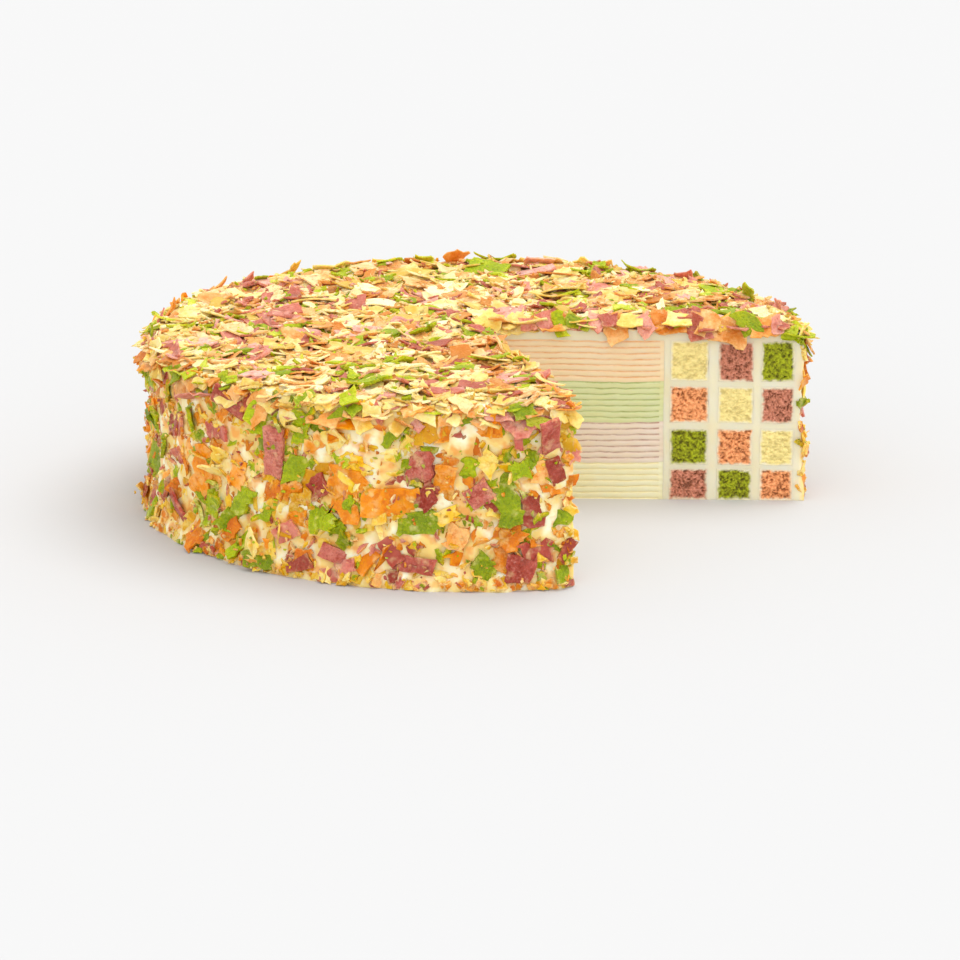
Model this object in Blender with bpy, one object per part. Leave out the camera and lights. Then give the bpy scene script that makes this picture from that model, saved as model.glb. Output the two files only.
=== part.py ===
"""A crepe cake with a ring of sponge squares round it, coated with cream and covered in broken flakes.

One fifth of the cake is cut out. The cut shows, from the middle outwards, a stack of 28 thin crepes in
four tinted bands, and a checker of sponge squares, three wide and four high, set in cream. Each layer,
filling and sponge square runs on through the rest of the cake. The frame is +Z up and -Y to the front,
with its origin on the cake's axis, at the level of the surface that the cake stands on.
"""

import math
import random

import bmesh
import bpy
from mathutils import Matrix, Vector

MM = 0.001
GAP = 0.3 * MM  # clearance between two pieces that touch in the real cake
WELD = 0.001 * MM
OVERCUT = 1.0 * MM

# The cake and its cut
CAKE_RADIUS = 110.0 * MM
CAKE_HEIGHT = 59.5 * MM
CUT_END = math.radians(286)  # the left face of the cut, as seen from the front
CUT_START = math.radians(-2)  # the right face of the cut, which faces the front
INNER_STEPS = 16
OUTER_STEPS = 32

# Crepes and their fillings
BANDS = ("peach", "green", "mauve", "yellow")
CREPES_IN_BAND = 7
CREPE_THICKNESS = 0.75 * MM
CREPE_PITCH = 2.026 * MM
CREPE_RADIUS = 62.0 * MM
FILLING_RADIUS = 63.4 * MM

# Sponge squares, whose rows count from the top and whose columns count from the middle outwards
COLUMNS = ((65.5 * MM, 78.4 * MM), (81.6 * MM, 93.4 * MM), (96.1 * MM, 107.2 * MM))
LOWER_ROWS = ((26.6 * MM, 39.6 * MM), (12.0 * MM, 24.4 * MM), (0.0, 10.6 * MM))
TOP_ROW_FLOOR = 41.5 * MM
SPONGES = ("yellow", "mauve", "green", "orange")

# Flakes
FLAKE_COLOURS = ("yellow", "orange", "green", "mauve")
FLAKES_ON_TOP = 92
FLAKES_ON_SIDE = 100
FLAKE_THICKNESS = 1.2 * MM
LONGEST_FLAKE = 22.0 * MM
SHORTEST_FLAKE = 11.0 * MM
MOST_PROUD = 5.5 * MM  # how far a flake may stand out from the cream
FLAKE_SINK = 0.8 * MM  # how deep a flake's lowest corner lies in the cream
CANDIDATES = 24
SEED = 7

# Colours, in sRGB from 0 to 255
CREAM_COLOUR = (243, 236, 208)
CREPE_COLOURS = {
    "peach": (224, 172, 116),
    "green": (176, 176, 104),
    "mauve": (190, 154, 132),
    "yellow": (224, 204, 146),
}
FILLING_COLOURS = {
    "peach": (249, 216, 176),
    "green": (222, 222, 172),
    "mauve": (236, 214, 192),
    "yellow": (245, 230, 182),
}
SPONGE_COLOURS = {
    "yellow": (238, 218, 146),
    "mauve": (178, 116, 94),
    "green": (140, 148, 40),
    "orange": (228, 156, 104),
}
FLAKE_TINTS = {
    "yellow": (246, 222, 140),
    "orange": (232, 158, 88),
    "green": (152, 160, 36),
    "mauve": (180, 104, 84),
}


def linear(channel):
    """One sRGB channel, 0 to 255, as the linear value that a shader takes."""
    value = channel / 255
    return value / 12.92 if value <= 0.04045 else ((value + 0.055) / 1.055) ** 2.4


def material(name, colour, roughness):
    made = bpy.data.materials.new(name)
    made.use_nodes = True
    shader = made.node_tree.nodes["Principled BSDF"]
    shader.inputs["Base Color"].default_value = (*(linear(c) for c in colour), 1.0)
    shader.inputs["Roughness"].default_value = roughness
    shader.inputs["Metallic"].default_value = 0.0
    made.diffuse_color = shader.inputs["Base Color"].default_value
    return made


def object_from(name, bm, made_of):
    """A bmesh as an object of the scene, its faces pointing out and its round sides smooth."""
    bmesh.ops.remove_doubles(bm, verts=bm.verts, dist=WELD)
    bmesh.ops.recalc_face_normals(bm, faces=bm.faces)
    mesh = bpy.data.meshes.new(name)
    bm.to_mesh(mesh)
    bm.free()
    mesh.materials.append(made_of)
    mesh.shade_smooth()
    mesh.set_sharp_from_angle(angle=math.radians(30))
    obj = bpy.data.objects.new(name, mesh)
    bpy.context.scene.collection.objects.link(obj)
    return obj


def swept(name, section, steps, made_of, past=0):
    """A (radius, height) outline carried round the cake, from face to face of the cut or some steps past."""
    step = (CUT_END - CUT_START) / steps
    bm = bmesh.new()
    bm.faces.new([bm.verts.new((radius, 0.0, height)) for radius, height in section])
    turned = Matrix.Rotation(CUT_START - past * step, 3, "Z")
    bmesh.ops.rotate(bm, verts=bm.verts, cent=(0, 0, 0), matrix=turned)
    bmesh.ops.spin(
        bm,
        geom=bm.verts[:] + bm.edges[:] + bm.faces[:],
        cent=(0, 0, 0),
        axis=(0, 0, 1),
        angle=step * (steps + 2 * past),
        steps=steps + 2 * past,
        use_duplicate=False,
    )
    return object_from(name, bm, made_of)


def rectangle(inner, outer, low, high):
    return [(inner, low), (outer, low), (outer, high), (inner, high)]


def move_to(obj, collection):
    bpy.context.scene.collection.objects.unlink(obj)
    collection.objects.link(obj)


def combine(target, collection, operation):
    """One Boolean of the target with all that the collection holds, which is then removed."""
    bpy.context.scene.collection.children.link(collection)
    boolean = target.modifiers.new(operation.lower(), "BOOLEAN")
    boolean.operation = operation
    boolean.operand_type = "COLLECTION"
    boolean.collection = collection
    boolean.solver = "EXACT"
    boolean.material_mode = "TRANSFER"
    with bpy.context.temp_override(object=target, active_object=target):
        bpy.ops.object.modifier_apply(modifier=boolean.name)
    for obj in list(collection.objects):
        bpy.data.objects.remove(obj, do_unlink=True)
    bpy.data.collections.remove(collection)


def keep_main_shell(mesh):
    """Drops scraps that fused to nothing and the walls of hollows that the fusing sealed."""
    bm = bmesh.new()
    bm.from_mesh(mesh)
    shells, seen = [], set()
    for start in bm.verts:
        if start in seen:
            continue
        shell, waiting = [], [start]
        seen.add(start)
        while waiting:
            vert = waiting.pop()
            shell.append(vert)
            for edge in vert.link_edges:
                other = edge.other_vert(vert)
                if other not in seen:
                    seen.add(other)
                    waiting.append(other)
        shells.append(shell)
    shells.sort(key=len)
    loose = [vert for shell in shells[:-1] for vert in shell]
    bmesh.ops.delete(bm, geom=loose, context="VERTS")
    bm.to_mesh(mesh)
    bm.free()


# Crepes and fillings

CREPES = CREPES_IN_BAND * len(BANDS)


def crepe_centre(index):
    """The height of a crepe's middle. Crepe 0 is the top one, and the last one lies at the bottom."""
    return CREPE_THICKNESS / 2 + (CREPES - 1 - index) * CREPE_PITCH


def slot_top(index):
    return crepe_centre(index) + CREPE_THICKNESS / 2 + GAP


def slot_floor(index):
    return crepe_centre(index) - CREPE_THICKNESS / 2 - GAP


COAT_UNDERSIDE = slot_top(0)


def build_crepes():
    for band, tint in enumerate(BANDS):
        colour = material(f"crepe_{tint}", CREPE_COLOURS[tint], 0.6)
        for place in range(CREPES_IN_BAND):
            middle = crepe_centre(band * CREPES_IN_BAND + place)
            low, high = middle - CREPE_THICKNESS / 2, middle + CREPE_THICKNESS / 2
            section = rectangle(0.0, CREPE_RADIUS, low, high)
            swept(f"crepe_{tint}_{place + 1}", section, INNER_STEPS, colour)


def filling_section(band):
    """A rim round the crepes' edges, with a fin of filling under each crepe but the cake's lowest."""
    first = band * CREPES_IN_BAND
    rim_inner = CREPE_RADIUS + GAP
    lowest_band = band == len(BANDS) - 1
    floor = 0.0 if lowest_band else slot_top(first + CREPES_IN_BAND)
    ceiling = slot_top(first) - GAP
    outline = [(FILLING_RADIUS, floor), (FILLING_RADIUS, ceiling), (rim_inner, ceiling)]
    fins = CREPES_IN_BAND - 1 if lowest_band else CREPES_IN_BAND
    for index in range(first, first + fins):
        top, bottom = slot_floor(index), slot_top(index + 1)
        outline += [(rim_inner, top), (0.0, top), (0.0, bottom), (rim_inner, bottom)]
    if lowest_band:
        outline.append((rim_inner, floor))
    else:
        outline.pop()
    return outline


def build_fillings():
    for band, tint in enumerate(BANDS):
        colour = material(f"filling_{tint}", FILLING_COLOURS[tint], 0.5)
        swept(f"filling_{tint}", filling_section(band), INNER_STEPS, colour)


# Sponge squares

ROWS = ((TOP_ROW_FLOOR, COAT_UNDERSIDE - GAP), *LOWER_ROWS)


def build_sponges():
    colours = {tint: material(f"sponge_{tint}", SPONGE_COLOURS[tint], 0.9) for tint in SPONGES}
    for row, (low, high) in enumerate(ROWS):
        for column, (inner, outer) in enumerate(COLUMNS):
            tint = SPONGES[(column - row) % len(SPONGES)]
            section = rectangle(inner, outer, low, high)
            swept(f"sponge_r{row + 1}c{column + 1}", section, INNER_STEPS, colours[tint])


# Cream

def room_sections():
    """The rooms in the cream: one for the crepes with their fillings, and one for each sponge square."""
    yield 0.0, FILLING_RADIUS, 0.0, COAT_UNDERSIDE - GAP
    for low, high in ROWS:
        for inner, outer in COLUMNS:
            yield inner, outer, low, high


def build_cream():
    """The coat with its flakes, and the walls and shelves that are left between the rooms cut in it."""
    colour = material("cream", CREAM_COLOUR, 0.45)
    whole = rectangle(0.0, CAKE_RADIUS, 0.0, CAKE_HEIGHT)
    cream = swept("cream", whole, OUTER_STEPS, colour)
    combine(cream, build_flakes(), "UNION")
    rooms = bpy.data.collections.new("rooms")
    for inner, outer, low, high in room_sections():
        floor = low - GAP if low > 0 else -OVERCUT
        section = rectangle(max(inner - GAP, 0.0), outer + GAP, floor, high + GAP)
        room = swept("room", section, INNER_STEPS, colour, past=1)
        move_to(room, rooms)
    combine(cream, rooms, "DIFFERENCE")
    keep_main_shell(cream.data)


# Flakes

def flake_shape(rng, length):
    """A six-cornered shard, bent along its long diagonal, lying in the XY plane."""
    width = length * rng.uniform(0.42, 0.72)
    bend = math.tan(math.radians(rng.uniform(-22, 22)))
    corners = []
    for corner in range(6):
        turn = math.tau * corner / 6
        if corner % 3:
            turn += rng.uniform(-0.3, 0.3)
        reach = rng.uniform(0.85, 1.1)
        across = width / 2 * math.sin(turn) * reach if corner % 3 else 0.0
        corners.append(Vector((length / 2 * math.cos(turn) * reach, across, abs(across) * bend)))
    return corners


def flake_object(name, corners, colour):
    """The shard's upper and lower skins, with its broken edge between them."""
    bm = bmesh.new()
    thickness = (corners[1] - corners[0]).cross(corners[3] - corners[0]).normalized() * FLAKE_THICKNESS / 2
    if thickness.dot((corners[5] - corners[0]).cross(corners[3] - corners[0])) > 0:
        raise ValueError("a flake's halves fold over each other")
    upper = [bm.verts.new(corner + thickness) for corner in corners]
    lower = [bm.verts.new(corner - thickness) for corner in corners]
    for skin in (upper, lower):
        bm.faces.new((skin[0], skin[1], skin[2], skin[3]))
        bm.faces.new((skin[0], skin[3], skin[4], skin[5]))
    for corner in range(6):
        after = (corner + 1) % 6
        bm.faces.new((upper[corner], upper[after], lower[after], lower[corner]))
    return object_from(name, bm, colour)


def lean(rng):
    """How far a flake tips up from the cream: most lie down, and a few stand."""
    draw = rng.random()
    if draw < 0.55:
        return math.radians(rng.uniform(6, 14))
    if draw < 0.92:
        return math.radians(rng.uniform(14, 26))
    return math.radians(rng.uniform(30, 48))


def in_cake(point):
    """How far a point lies behind the nearer face of the cut, or a negative distance inside the cut."""
    start = -point.x * math.sin(CUT_START) + point.y * math.cos(CUT_START)
    end = point.x * math.sin(CUT_END) - point.y * math.cos(CUT_END)
    return start, end


def clear_of_cut(corners):
    """The shift that brings a flake out of the cut, square to the face that it crosses."""
    margin = FLAKE_THICKNESS
    start = margin - min(in_cake(corner)[0] for corner in corners)
    end = margin - min(in_cake(corner)[1] for corner in corners)
    if min(start, end) <= 0:
        return Vector((0, 0, 0))
    if start < end:
        return Vector((-math.sin(CUT_START), math.cos(CUT_START), 0)) * start
    return Vector((math.sin(CUT_END), -math.cos(CUT_END), 0)) * end


def laid(rng, corners, along, across, normal, base):
    """The flake's corners on the cream, leaning in any direction, its lowest corner a little sunk."""
    turn = Matrix.Rotation(rng.uniform(0, math.tau), 3, "Z")
    axis = Vector((rng.uniform(-1, 1), rng.uniform(-1, 1), 0)).normalized()
    angle = lean(rng)
    while True:
        tipped = [Matrix.Rotation(angle, 3, axis) @ (turn @ corner) for corner in corners]
        lowest = min(corner.z for corner in tipped)
        if max(corner.z for corner in tipped) - lowest < MOST_PROUD + FLAKE_SINK - FLAKE_THICKNESS:
            break
        angle *= 0.8
    lift = -lowest - FLAKE_SINK + FLAKE_THICKNESS / 2
    return [
        base + along * corner.x + across * corner.y + normal * (corner.z + lift) for corner in tipped
    ]


def spread(rng, count, draw, distance):
    """Places drawn one by one, each the candidate that lies farthest from the places before it."""
    places = []
    for _ in range(count):
        candidates = [draw() for _ in range(CANDIDATES)]
        best = max(candidates, key=lambda c: min((distance(c, p) for p in places), default=0.0))
        places.append(best)
    return places


def top_place(rng):
    """A point of the top, as an azimuth and a radius, spread evenly over its area."""
    azimuth = rng.uniform(CUT_START, CUT_END)
    return azimuth, (CAKE_RADIUS - 3 * MM) * math.sqrt(rng.random())


def side_place(rng):
    """A point of the side, as an azimuth and a height."""
    margin = SHORTEST_FLAKE / 2 / CAKE_RADIUS
    azimuth = rng.uniform(CUT_START + margin, CUT_END - margin)
    return azimuth, rng.uniform(3 * MM, CAKE_HEIGHT - 2 * MM)


def top_distance(a, b):
    return (Vector((a[1] * math.cos(a[0]), a[1] * math.sin(a[0])))
            - Vector((b[1] * math.cos(b[0]), b[1] * math.sin(b[0])))).length


def side_distance(a, b):
    return math.hypot((a[0] - b[0]) * CAKE_RADIUS, a[1] - b[1])


def within_limits(corners, on_top):
    """The corners moved along the cream, clear of the cut and within the cake's widest and tallest."""
    shift = clear_of_cut(corners)
    corners = [corner + shift for corner in corners]
    edge = FLAKE_THICKNESS / 2
    if on_top:
        widest = max(corners, key=lambda corner: corner.xy.length)
        over = max(widest.xy.length + edge - CAKE_RADIUS - MOST_PROUD, 0.0)
        return [corner - Vector((widest.x, widest.y, 0)).normalized() * over for corner in corners]
    over = max(max(corner.z for corner in corners) + edge - CAKE_HEIGHT - MOST_PROUD, 0.0)
    under = max(edge + GAP - min(corner.z for corner in corners), 0.0)
    return [corner + Vector((0, 0, under - over)) for corner in corners]


def build_flakes():
    """Flakes on the top and round the side, the largest first, each in one of the four colours."""
    flakes = bpy.data.collections.new("flakes")
    rng = random.Random(SEED)
    colours = [material(f"flake_{tint}", FLAKE_TINTS[tint], 0.55) for tint in FLAKE_COLOURS]
    top = spread(rng, FLAKES_ON_TOP, lambda: top_place(rng), top_distance)
    side = spread(rng, FLAKES_ON_SIDE, lambda: side_place(rng), side_distance)
    for places, on_top in ((top, True), (side, False)):
        for rank, (azimuth, place) in enumerate(places):
            share = rank / (len(places) - 1)
            length = LONGEST_FLAKE + (SHORTEST_FLAKE - LONGEST_FLAKE) * share
            outwards = Vector((math.cos(azimuth), math.sin(azimuth), 0))
            round_cake = Vector((-math.sin(azimuth), math.cos(azimuth), 0))
            if on_top:
                frame = (outwards, round_cake, Vector((0, 0, 1)))
                base = outwards * place + Vector((0, 0, CAKE_HEIGHT))
            else:
                frame = (round_cake, Vector((0, 0, 1)), outwards)
                base = outwards * CAKE_RADIUS + Vector((0, 0, place))
            corners = within_limits(laid(rng, flake_shape(rng, length), *frame, base), on_top)
            move_to(flake_object("flake", corners, rng.choice(colours)), flakes)
    return flakes


def main():
    for obj in list(bpy.data.objects):
        bpy.data.objects.remove(obj, do_unlink=True)
    build_crepes()
    build_fillings()
    build_sponges()
    build_cream()


main()
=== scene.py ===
"""The looks of a cut crepe cake: soft wavy layers, porous sponge squares, cream, and the flakes on it.

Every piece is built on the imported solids. A section of the cake is a flat grid of cells, spun round the
cake's axis from one face of the cut to the other. One field of soft unevenness moves all the sections
alike, so that crepes, fillings, sponge and cream still meet after it. Flakes are copies of a few blank
shards, each broken and curled in its own way, and laid one on another on the cream.
"""

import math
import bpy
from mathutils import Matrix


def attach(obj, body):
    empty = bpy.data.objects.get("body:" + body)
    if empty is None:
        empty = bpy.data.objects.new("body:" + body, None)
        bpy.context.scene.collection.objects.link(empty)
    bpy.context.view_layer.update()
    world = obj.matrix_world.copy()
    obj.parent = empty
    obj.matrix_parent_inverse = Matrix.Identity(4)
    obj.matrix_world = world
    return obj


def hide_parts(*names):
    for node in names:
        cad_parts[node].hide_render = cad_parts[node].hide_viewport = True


bl_info = {
    "name": "Cut Crepe Cake",
    "version": (1, 0, 0),
    "blender": (4, 5, 0),
    "location": "View3D > Sidebar > Cake",
    "description": "Builds the visible pieces of a cut crepe cake on its packed solids",
    "category": "Add Mesh",
}

import bpy
import numpy as np
from mathutils import Vector

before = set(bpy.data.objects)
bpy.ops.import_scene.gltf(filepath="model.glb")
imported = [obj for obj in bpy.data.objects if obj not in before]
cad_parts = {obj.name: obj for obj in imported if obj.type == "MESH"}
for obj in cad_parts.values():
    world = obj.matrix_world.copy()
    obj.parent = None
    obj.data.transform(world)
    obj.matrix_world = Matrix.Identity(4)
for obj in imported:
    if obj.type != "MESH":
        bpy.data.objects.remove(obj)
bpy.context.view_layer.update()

MM = 0.001
WELD = 0.001 * MM
TOUCH = 0.01 * MM  # how near a point of a solid lies to a face of the cut that it is on
BANDS = ("peach", "green", "mauve", "yellow")
SPONGES = ("yellow", "mauve", "green", "orange")
FLAKES = ("yellow", "orange", "green", "mauve")
BAND_CREPES = 7
SPONGE_ROWS = 4
SPONGE_COLUMNS = 3
CREPE_NODES = [f"crepe_{band}_{place}" for band in BANDS for place in range(1, BAND_CREPES + 1)]
IN_CUT = -40  # an azimuth inside the cut, in degrees, from which all others are counted


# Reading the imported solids

def points_of(mesh):
    points = np.empty(len(mesh.vertices) * 3, np.float32)
    mesh.vertices.foreach_get("co", points)
    return points.reshape(-1, 3).astype(np.float64)


def radii_of(points):
    """Each point's distance from the cake's axis."""
    return np.hypot(points[:, 0], points[:, 1])


def ring(node):
    """A node's inner and outer radius, and its lowest and highest level."""
    points = points_of(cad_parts[node].data)
    radii = radii_of(points)
    return radii.min(), radii.max(), points[:, 2].min(), points[:, 2].max()


def cut_azimuths():
    """The azimuths of the cut's two faces, from the ends of the topmost crepe."""
    points = points_of(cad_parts[CREPE_NODES[0]].data)
    away = points[radii_of(points) > MM]
    turned = np.degrees(np.arctan2(away[:, 1], away[:, 0]))
    turned = (turned - IN_CUT) % 360 + IN_CUT
    return math.radians(turned.min()), math.radians(turned.max())


CUT_START, CUT_END = cut_azimuths()
SPAN = CUT_END - CUT_START
START_OUT = np.array([math.sin(CUT_START), -math.cos(CUT_START), 0.0])
END_OUT = np.array([-math.sin(CUT_END), math.cos(CUT_END), 0.0])


def coat_size():
    """The radius and height of the cream without its flakes, from its outline on a face of the cut."""
    points = points_of(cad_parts["cream"].data)
    on_cut = points[np.abs(points @ START_OUT) < TOUCH]
    return radii_of(on_cut).max(), on_cut[:, 2].max()


COAT_RADIUS, COAT_HEIGHT = coat_size()
CREPE_RADIUS = ring(CREPE_NODES[0])[1]
FILLING_RADIUS = ring("filling_peach")[1]
STACK_TOP = ring(CREPE_NODES[0])[3]
CLEARANCE = ring("filling_green")[3] - ring("crepe_green_1")[3]


# Values that a user would change

class CakeSizes(bpy.types.PropertyGroup):
    """How soft and uneven the cake is, and how many flakes it carries"""

    broad_sway: bpy.props.FloatProperty(
        name="Broad sway", description="How far the layers rise and sink in long waves",
        default=0.5 * MM, unit="LENGTH")
    fine_sway: bpy.props.FloatProperty(
        name="Fine sway", description="How far the edges of crepes and squares wander",
        default=0.22 * MM, unit="LENGTH")
    crumb_depth: bpy.props.FloatProperty(
        name="Crumb depth", description="Depth of the deepest pores in the cut sponge",
        default=1.3 * MM, unit="LENGTH")
    cream_relief: bpy.props.FloatProperty(
        name="Cream relief", description="Height of the spread marks in the cream",
        default=1.3 * MM, unit="LENGTH")
    flake_thickness: bpy.props.FloatProperty(
        name="Flake thickness", description="Thickness of a smooth flake",
        default=0.7 * MM, unit="LENGTH")
    most_proud: bpy.props.FloatProperty(
        name="Most proud", description="How far a flake may stand out from the cream",
        default=7.2 * MM, unit="LENGTH")
    top_depth: bpy.props.FloatProperty(
        name="Top depth", description="How deep the flakes may lie on the top",
        default=3.7 * MM, unit="LENGTH")
    top_flakes: bpy.props.IntProperty(
        name="Top flakes", description="Number of flakes strewn on the top, slivers and crumbs left out",
        default=1450)
    side_flakes: bpy.props.IntProperty(
        name="Side flakes", description="Number of flakes strewn on the side, slivers and crumbs left out",
        default=1900)
    crumbs: bpy.props.IntProperty(
        name="Crumbs", description="Number of crumbs strewn among the flakes, about half of them kept",
        default=5600)
    seed: bpy.props.IntProperty(name="Seed", description="Start of every random draw", default=5)


def colour_property(name, description, rgb):
    return bpy.props.FloatVectorProperty(
        name=name, description=description, subtype="COLOR_GAMMA", size=3, min=0.0, max=1.0,
        default=tuple(channel / 255 for channel in rgb))


class CakeColours(bpy.types.PropertyGroup):
    """The colours of the cream, the layers, the sponge and the flakes"""

    cream: colour_property("Cream", "Cream between the squares and under the flakes", (234, 225, 196))
    crepe_peach: colour_property("Peach crepe", "Crepes of the top band", (222, 144, 70))
    crepe_green: colour_property("Green crepe", "Crepes of the second band", (146, 158, 66))
    crepe_mauve: colour_property("Mauve crepe", "Crepes of the third band", (164, 108, 88))
    crepe_yellow: colour_property("Yellow crepe", "Crepes of the bottom band", (238, 216, 150))
    filling_peach: colour_property("Peach filling", "Filling of the top band", (254, 221, 178))
    filling_green: colour_property("Green filling", "Filling of the second band", (222, 224, 166))
    filling_mauve: colour_property("Mauve filling", "Filling of the third band", (245, 221, 198))
    filling_yellow: colour_property("Yellow filling", "Filling of the bottom band", (255, 244, 196))
    sponge_yellow: colour_property("Yellow sponge", "Pale yellow sponge squares", (232, 213, 138))
    sponge_mauve: colour_property("Mauve sponge", "Mauve sponge squares", (187, 119, 92))
    sponge_green: colour_property("Green sponge", "Green sponge squares", (147, 152, 6))
    sponge_orange: colour_property("Orange sponge", "Orange sponge squares", (229, 152, 97))
    flake_yellow: colour_property("Yellow flake", "Dry yellow flakes", (245, 220, 148))
    flake_orange: colour_property("Orange flake", "Dry orange flakes", (238, 178, 120))
    flake_green: colour_property("Green flake", "Dry green flakes", (168, 182, 26))
    flake_mauve: colour_property("Mauve flake", "Dry mauve flakes", (206, 131, 114))
    pale_yellow: colour_property("Pale yellow flake", "Palest parts of dry yellow flakes", (252, 235, 186))
    pale_orange: colour_property("Pale orange flake", "Palest parts of dry orange flakes", (248, 214, 164))
    pale_green: colour_property("Pale green flake", "Palest parts of dry green flakes", (212, 212, 94))
    pale_mauve: colour_property("Pale mauve flake", "Palest parts of dry mauve flakes", (235, 177, 160))
    soaked_yellow: colour_property("Soaked yellow flake", "Wet yellow flakes", (250, 200, 80))
    soaked_orange: colour_property("Soaked orange flake", "Wet orange flakes", (244, 150, 56))
    soaked_green: colour_property("Soaked green flake", "Wet green flakes", (150, 166, 2))
    soaked_mauve: colour_property("Soaked mauve flake", "Wet mauve flakes", (188, 98, 87))


# Selecting and editing

def deselect():
    bpy.ops.object.select_all(action="DESELECT")


def only(obj):
    deselect()
    obj.select_set(True)
    bpy.context.view_layer.objects.active = obj


def set_points(mesh, points):
    mesh.vertices.foreach_set("co", np.ascontiguousarray(points, np.float32).ravel())
    mesh.update()


def face_centres(mesh):
    centres = np.empty(len(mesh.polygons) * 3, np.float32)
    mesh.polygons.foreach_get("center", centres)
    return centres.reshape(-1, 3).astype(np.float64)


def edit_faces(obj, chosen):
    """Goes into edit mode with exactly these faces selected."""
    only(obj)
    bpy.ops.object.mode_set(mode="EDIT")
    bpy.context.tool_settings.mesh_select_mode = (False, False, True)
    bpy.ops.mesh.select_all(action="DESELECT")
    bpy.ops.object.mode_set(mode="OBJECT")
    obj.data.polygons.foreach_set("select", np.ascontiguousarray(chosen, bool))
    bpy.ops.object.mode_set(mode="EDIT")


def refine(obj, chosen, cuts):
    """Divides the chosen faces evenly."""
    edit_faces(obj, chosen)
    bpy.ops.mesh.subdivide(number_cuts=cuts)
    bpy.ops.object.mode_set(mode="OBJECT")


def spun(name, radii, heights, solid, steps):
    """A section of (radius, height) cells, spun round the cake. Cells that aren't solid are left out."""
    deselect()
    bpy.ops.mesh.primitive_grid_add(
        x_subdivisions=len(radii) - 1, y_subdivisions=len(heights) - 1, size=1.0, location=(0, 0, 0))
    obj = bpy.context.object
    obj.name = obj.data.name = name
    across, up = (values.ravel() for values in np.meshgrid(radii, heights))
    start = np.array([math.cos(CUT_START), math.sin(CUT_START), 0.0])
    set_points(obj.data, across[:, None] * start + up[:, None] * np.array([0, 0, 1.0]))
    centres = face_centres(obj.data)
    empty = ~solid(radii_of(centres), centres[:, 2])
    if empty.any():
        edit_faces(obj, empty)
        bpy.ops.mesh.delete(type="FACE")
        bpy.ops.object.mode_set(mode="OBJECT")
    only(obj)
    bpy.ops.object.mode_set(mode="EDIT")
    bpy.ops.mesh.select_all(action="SELECT")
    bpy.ops.mesh.spin(steps=steps, angle=SPAN, center=(0, 0, 0), axis=(0, 0, -1))
    bpy.ops.mesh.select_all(action="SELECT")
    bpy.ops.mesh.remove_doubles(threshold=WELD)
    bpy.ops.mesh.normals_make_consistent(inside=False)
    bpy.ops.object.mode_set(mode="OBJECT")
    return obj


def finish(obj, smooth=40.0):
    """Smooth shading, and a place on the cake's one body."""
    only(obj)
    bpy.ops.object.shade_smooth_by_angle(angle=math.radians(smooth))
    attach(obj, "root")


def float_attribute(mesh, name, values):
    layer = mesh.attributes.new(name, "FLOAT", "POINT")
    layer.data.foreach_set("value", np.ascontiguousarray(values, np.float32))


# Noise

def lattice_noise(points, scale, seed):
    """Smooth noise from -1 to 1 with features about as large as scale."""
    grid = points / scale
    cell = np.floor(grid).astype(np.int64)
    blend = grid - cell
    blend = blend * blend * (3 - 2 * blend)
    total = np.zeros(len(points))
    for corner in range(8):
        step = np.array([corner & 1, corner >> 1 & 1, corner >> 2])
        at = cell + step
        mixed = at[:, 0] * 73856093 ^ at[:, 1] * 19349663 ^ at[:, 2] * 83492791 ^ seed * 40503
        mixed = (mixed ^ mixed >> 13) * 1274126177 & 0x7FFFFFFF
        value = (mixed >> 7 & 0xFFFF) / 32767.5 - 1
        total += value * np.prod(np.where(step == 1, blend, 1 - blend), axis=1)
    return total


def ramp(values, low, high):
    """0 below low and 1 above high, with a soft change between them."""
    share = np.clip((values - low) / (high - low), 0, 1)
    return share * share * (3 - 2 * share)


def ways_out(points):
    """Each point's way straight out from the cake's axis."""
    return points * np.array([1.0, 1.0, 0.0]) / np.maximum(radii_of(points), MM)[:, None]


def swayed(points, sizes):
    """The points moved up, down, in and out by soft waves, which leave the underside and the axis still."""
    held = ramp(points[:, 2], 0.0, 3 * MM)
    lift = sizes.broad_sway * lattice_noise(points, 24 * MM, 11)
    lift += sizes.fine_sway * lattice_noise(points, 4.2 * MM, 12)
    lift += 0.5 * sizes.fine_sway * lattice_noise(points, 1.5 * MM, 13)
    reach = sizes.fine_sway * lattice_noise(points, 3.4 * MM, 14)
    reach *= ramp(radii_of(points), 2 * MM, 8 * MM)
    moved = points + ways_out(points) * reach[:, None]
    moved[:, 2] += lift * held
    return moved


def cut_faces(points):
    """Which points lie on the first and on the second face of the cut, off the cake's axis."""
    away = radii_of(points) > 0.5 * MM
    return away & (np.abs(points @ START_OUT) < TOUCH), away & (np.abs(points @ END_OUT) < TOUCH)


def on_cut(obj):
    """Which of a piece's faces lie on either face of the cut."""
    start, end = cut_faces(face_centres(obj.data))
    return start | end


def pushed(points, faces, depths):
    """The points on the faces of the cut moved out of the cake by these distances."""
    moved = points.copy()
    for on_face, out in zip(faces, (START_OUT, END_OUT)):
        moved[on_face] += depths[on_face, None] * out
    return moved


# Materials

def linear(colour):
    """A colour property's sRGB value as the linear one that a shader takes."""
    return tuple(c / 12.92 if c <= 0.04045 else ((c + 0.055) / 1.055) ** 2.4 for c in colour)


def shifted(colour, factors):
    """A linear colour with each channel multiplied."""
    return tuple(min(channel * factor, 1.0) for channel, factor in zip(colour, factors))


def add_node(tree, kind, settings=None, **inputs):
    """A node with its settings, and its inputs either set or linked, each by name or by place, as i0."""
    node = tree.nodes.new(kind)
    for key, value in (settings or {}).items():
        setattr(node, key, value)
    for key, value in inputs.items():
        taken_in = node.inputs[int(key[1:]) if key[0] == "i" and key[1:].isdigit() else key]
        if isinstance(value, bpy.types.NodeSocket):
            tree.links.new(value, taken_in)
        else:
            taken_in.default_value = value
    return node


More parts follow.
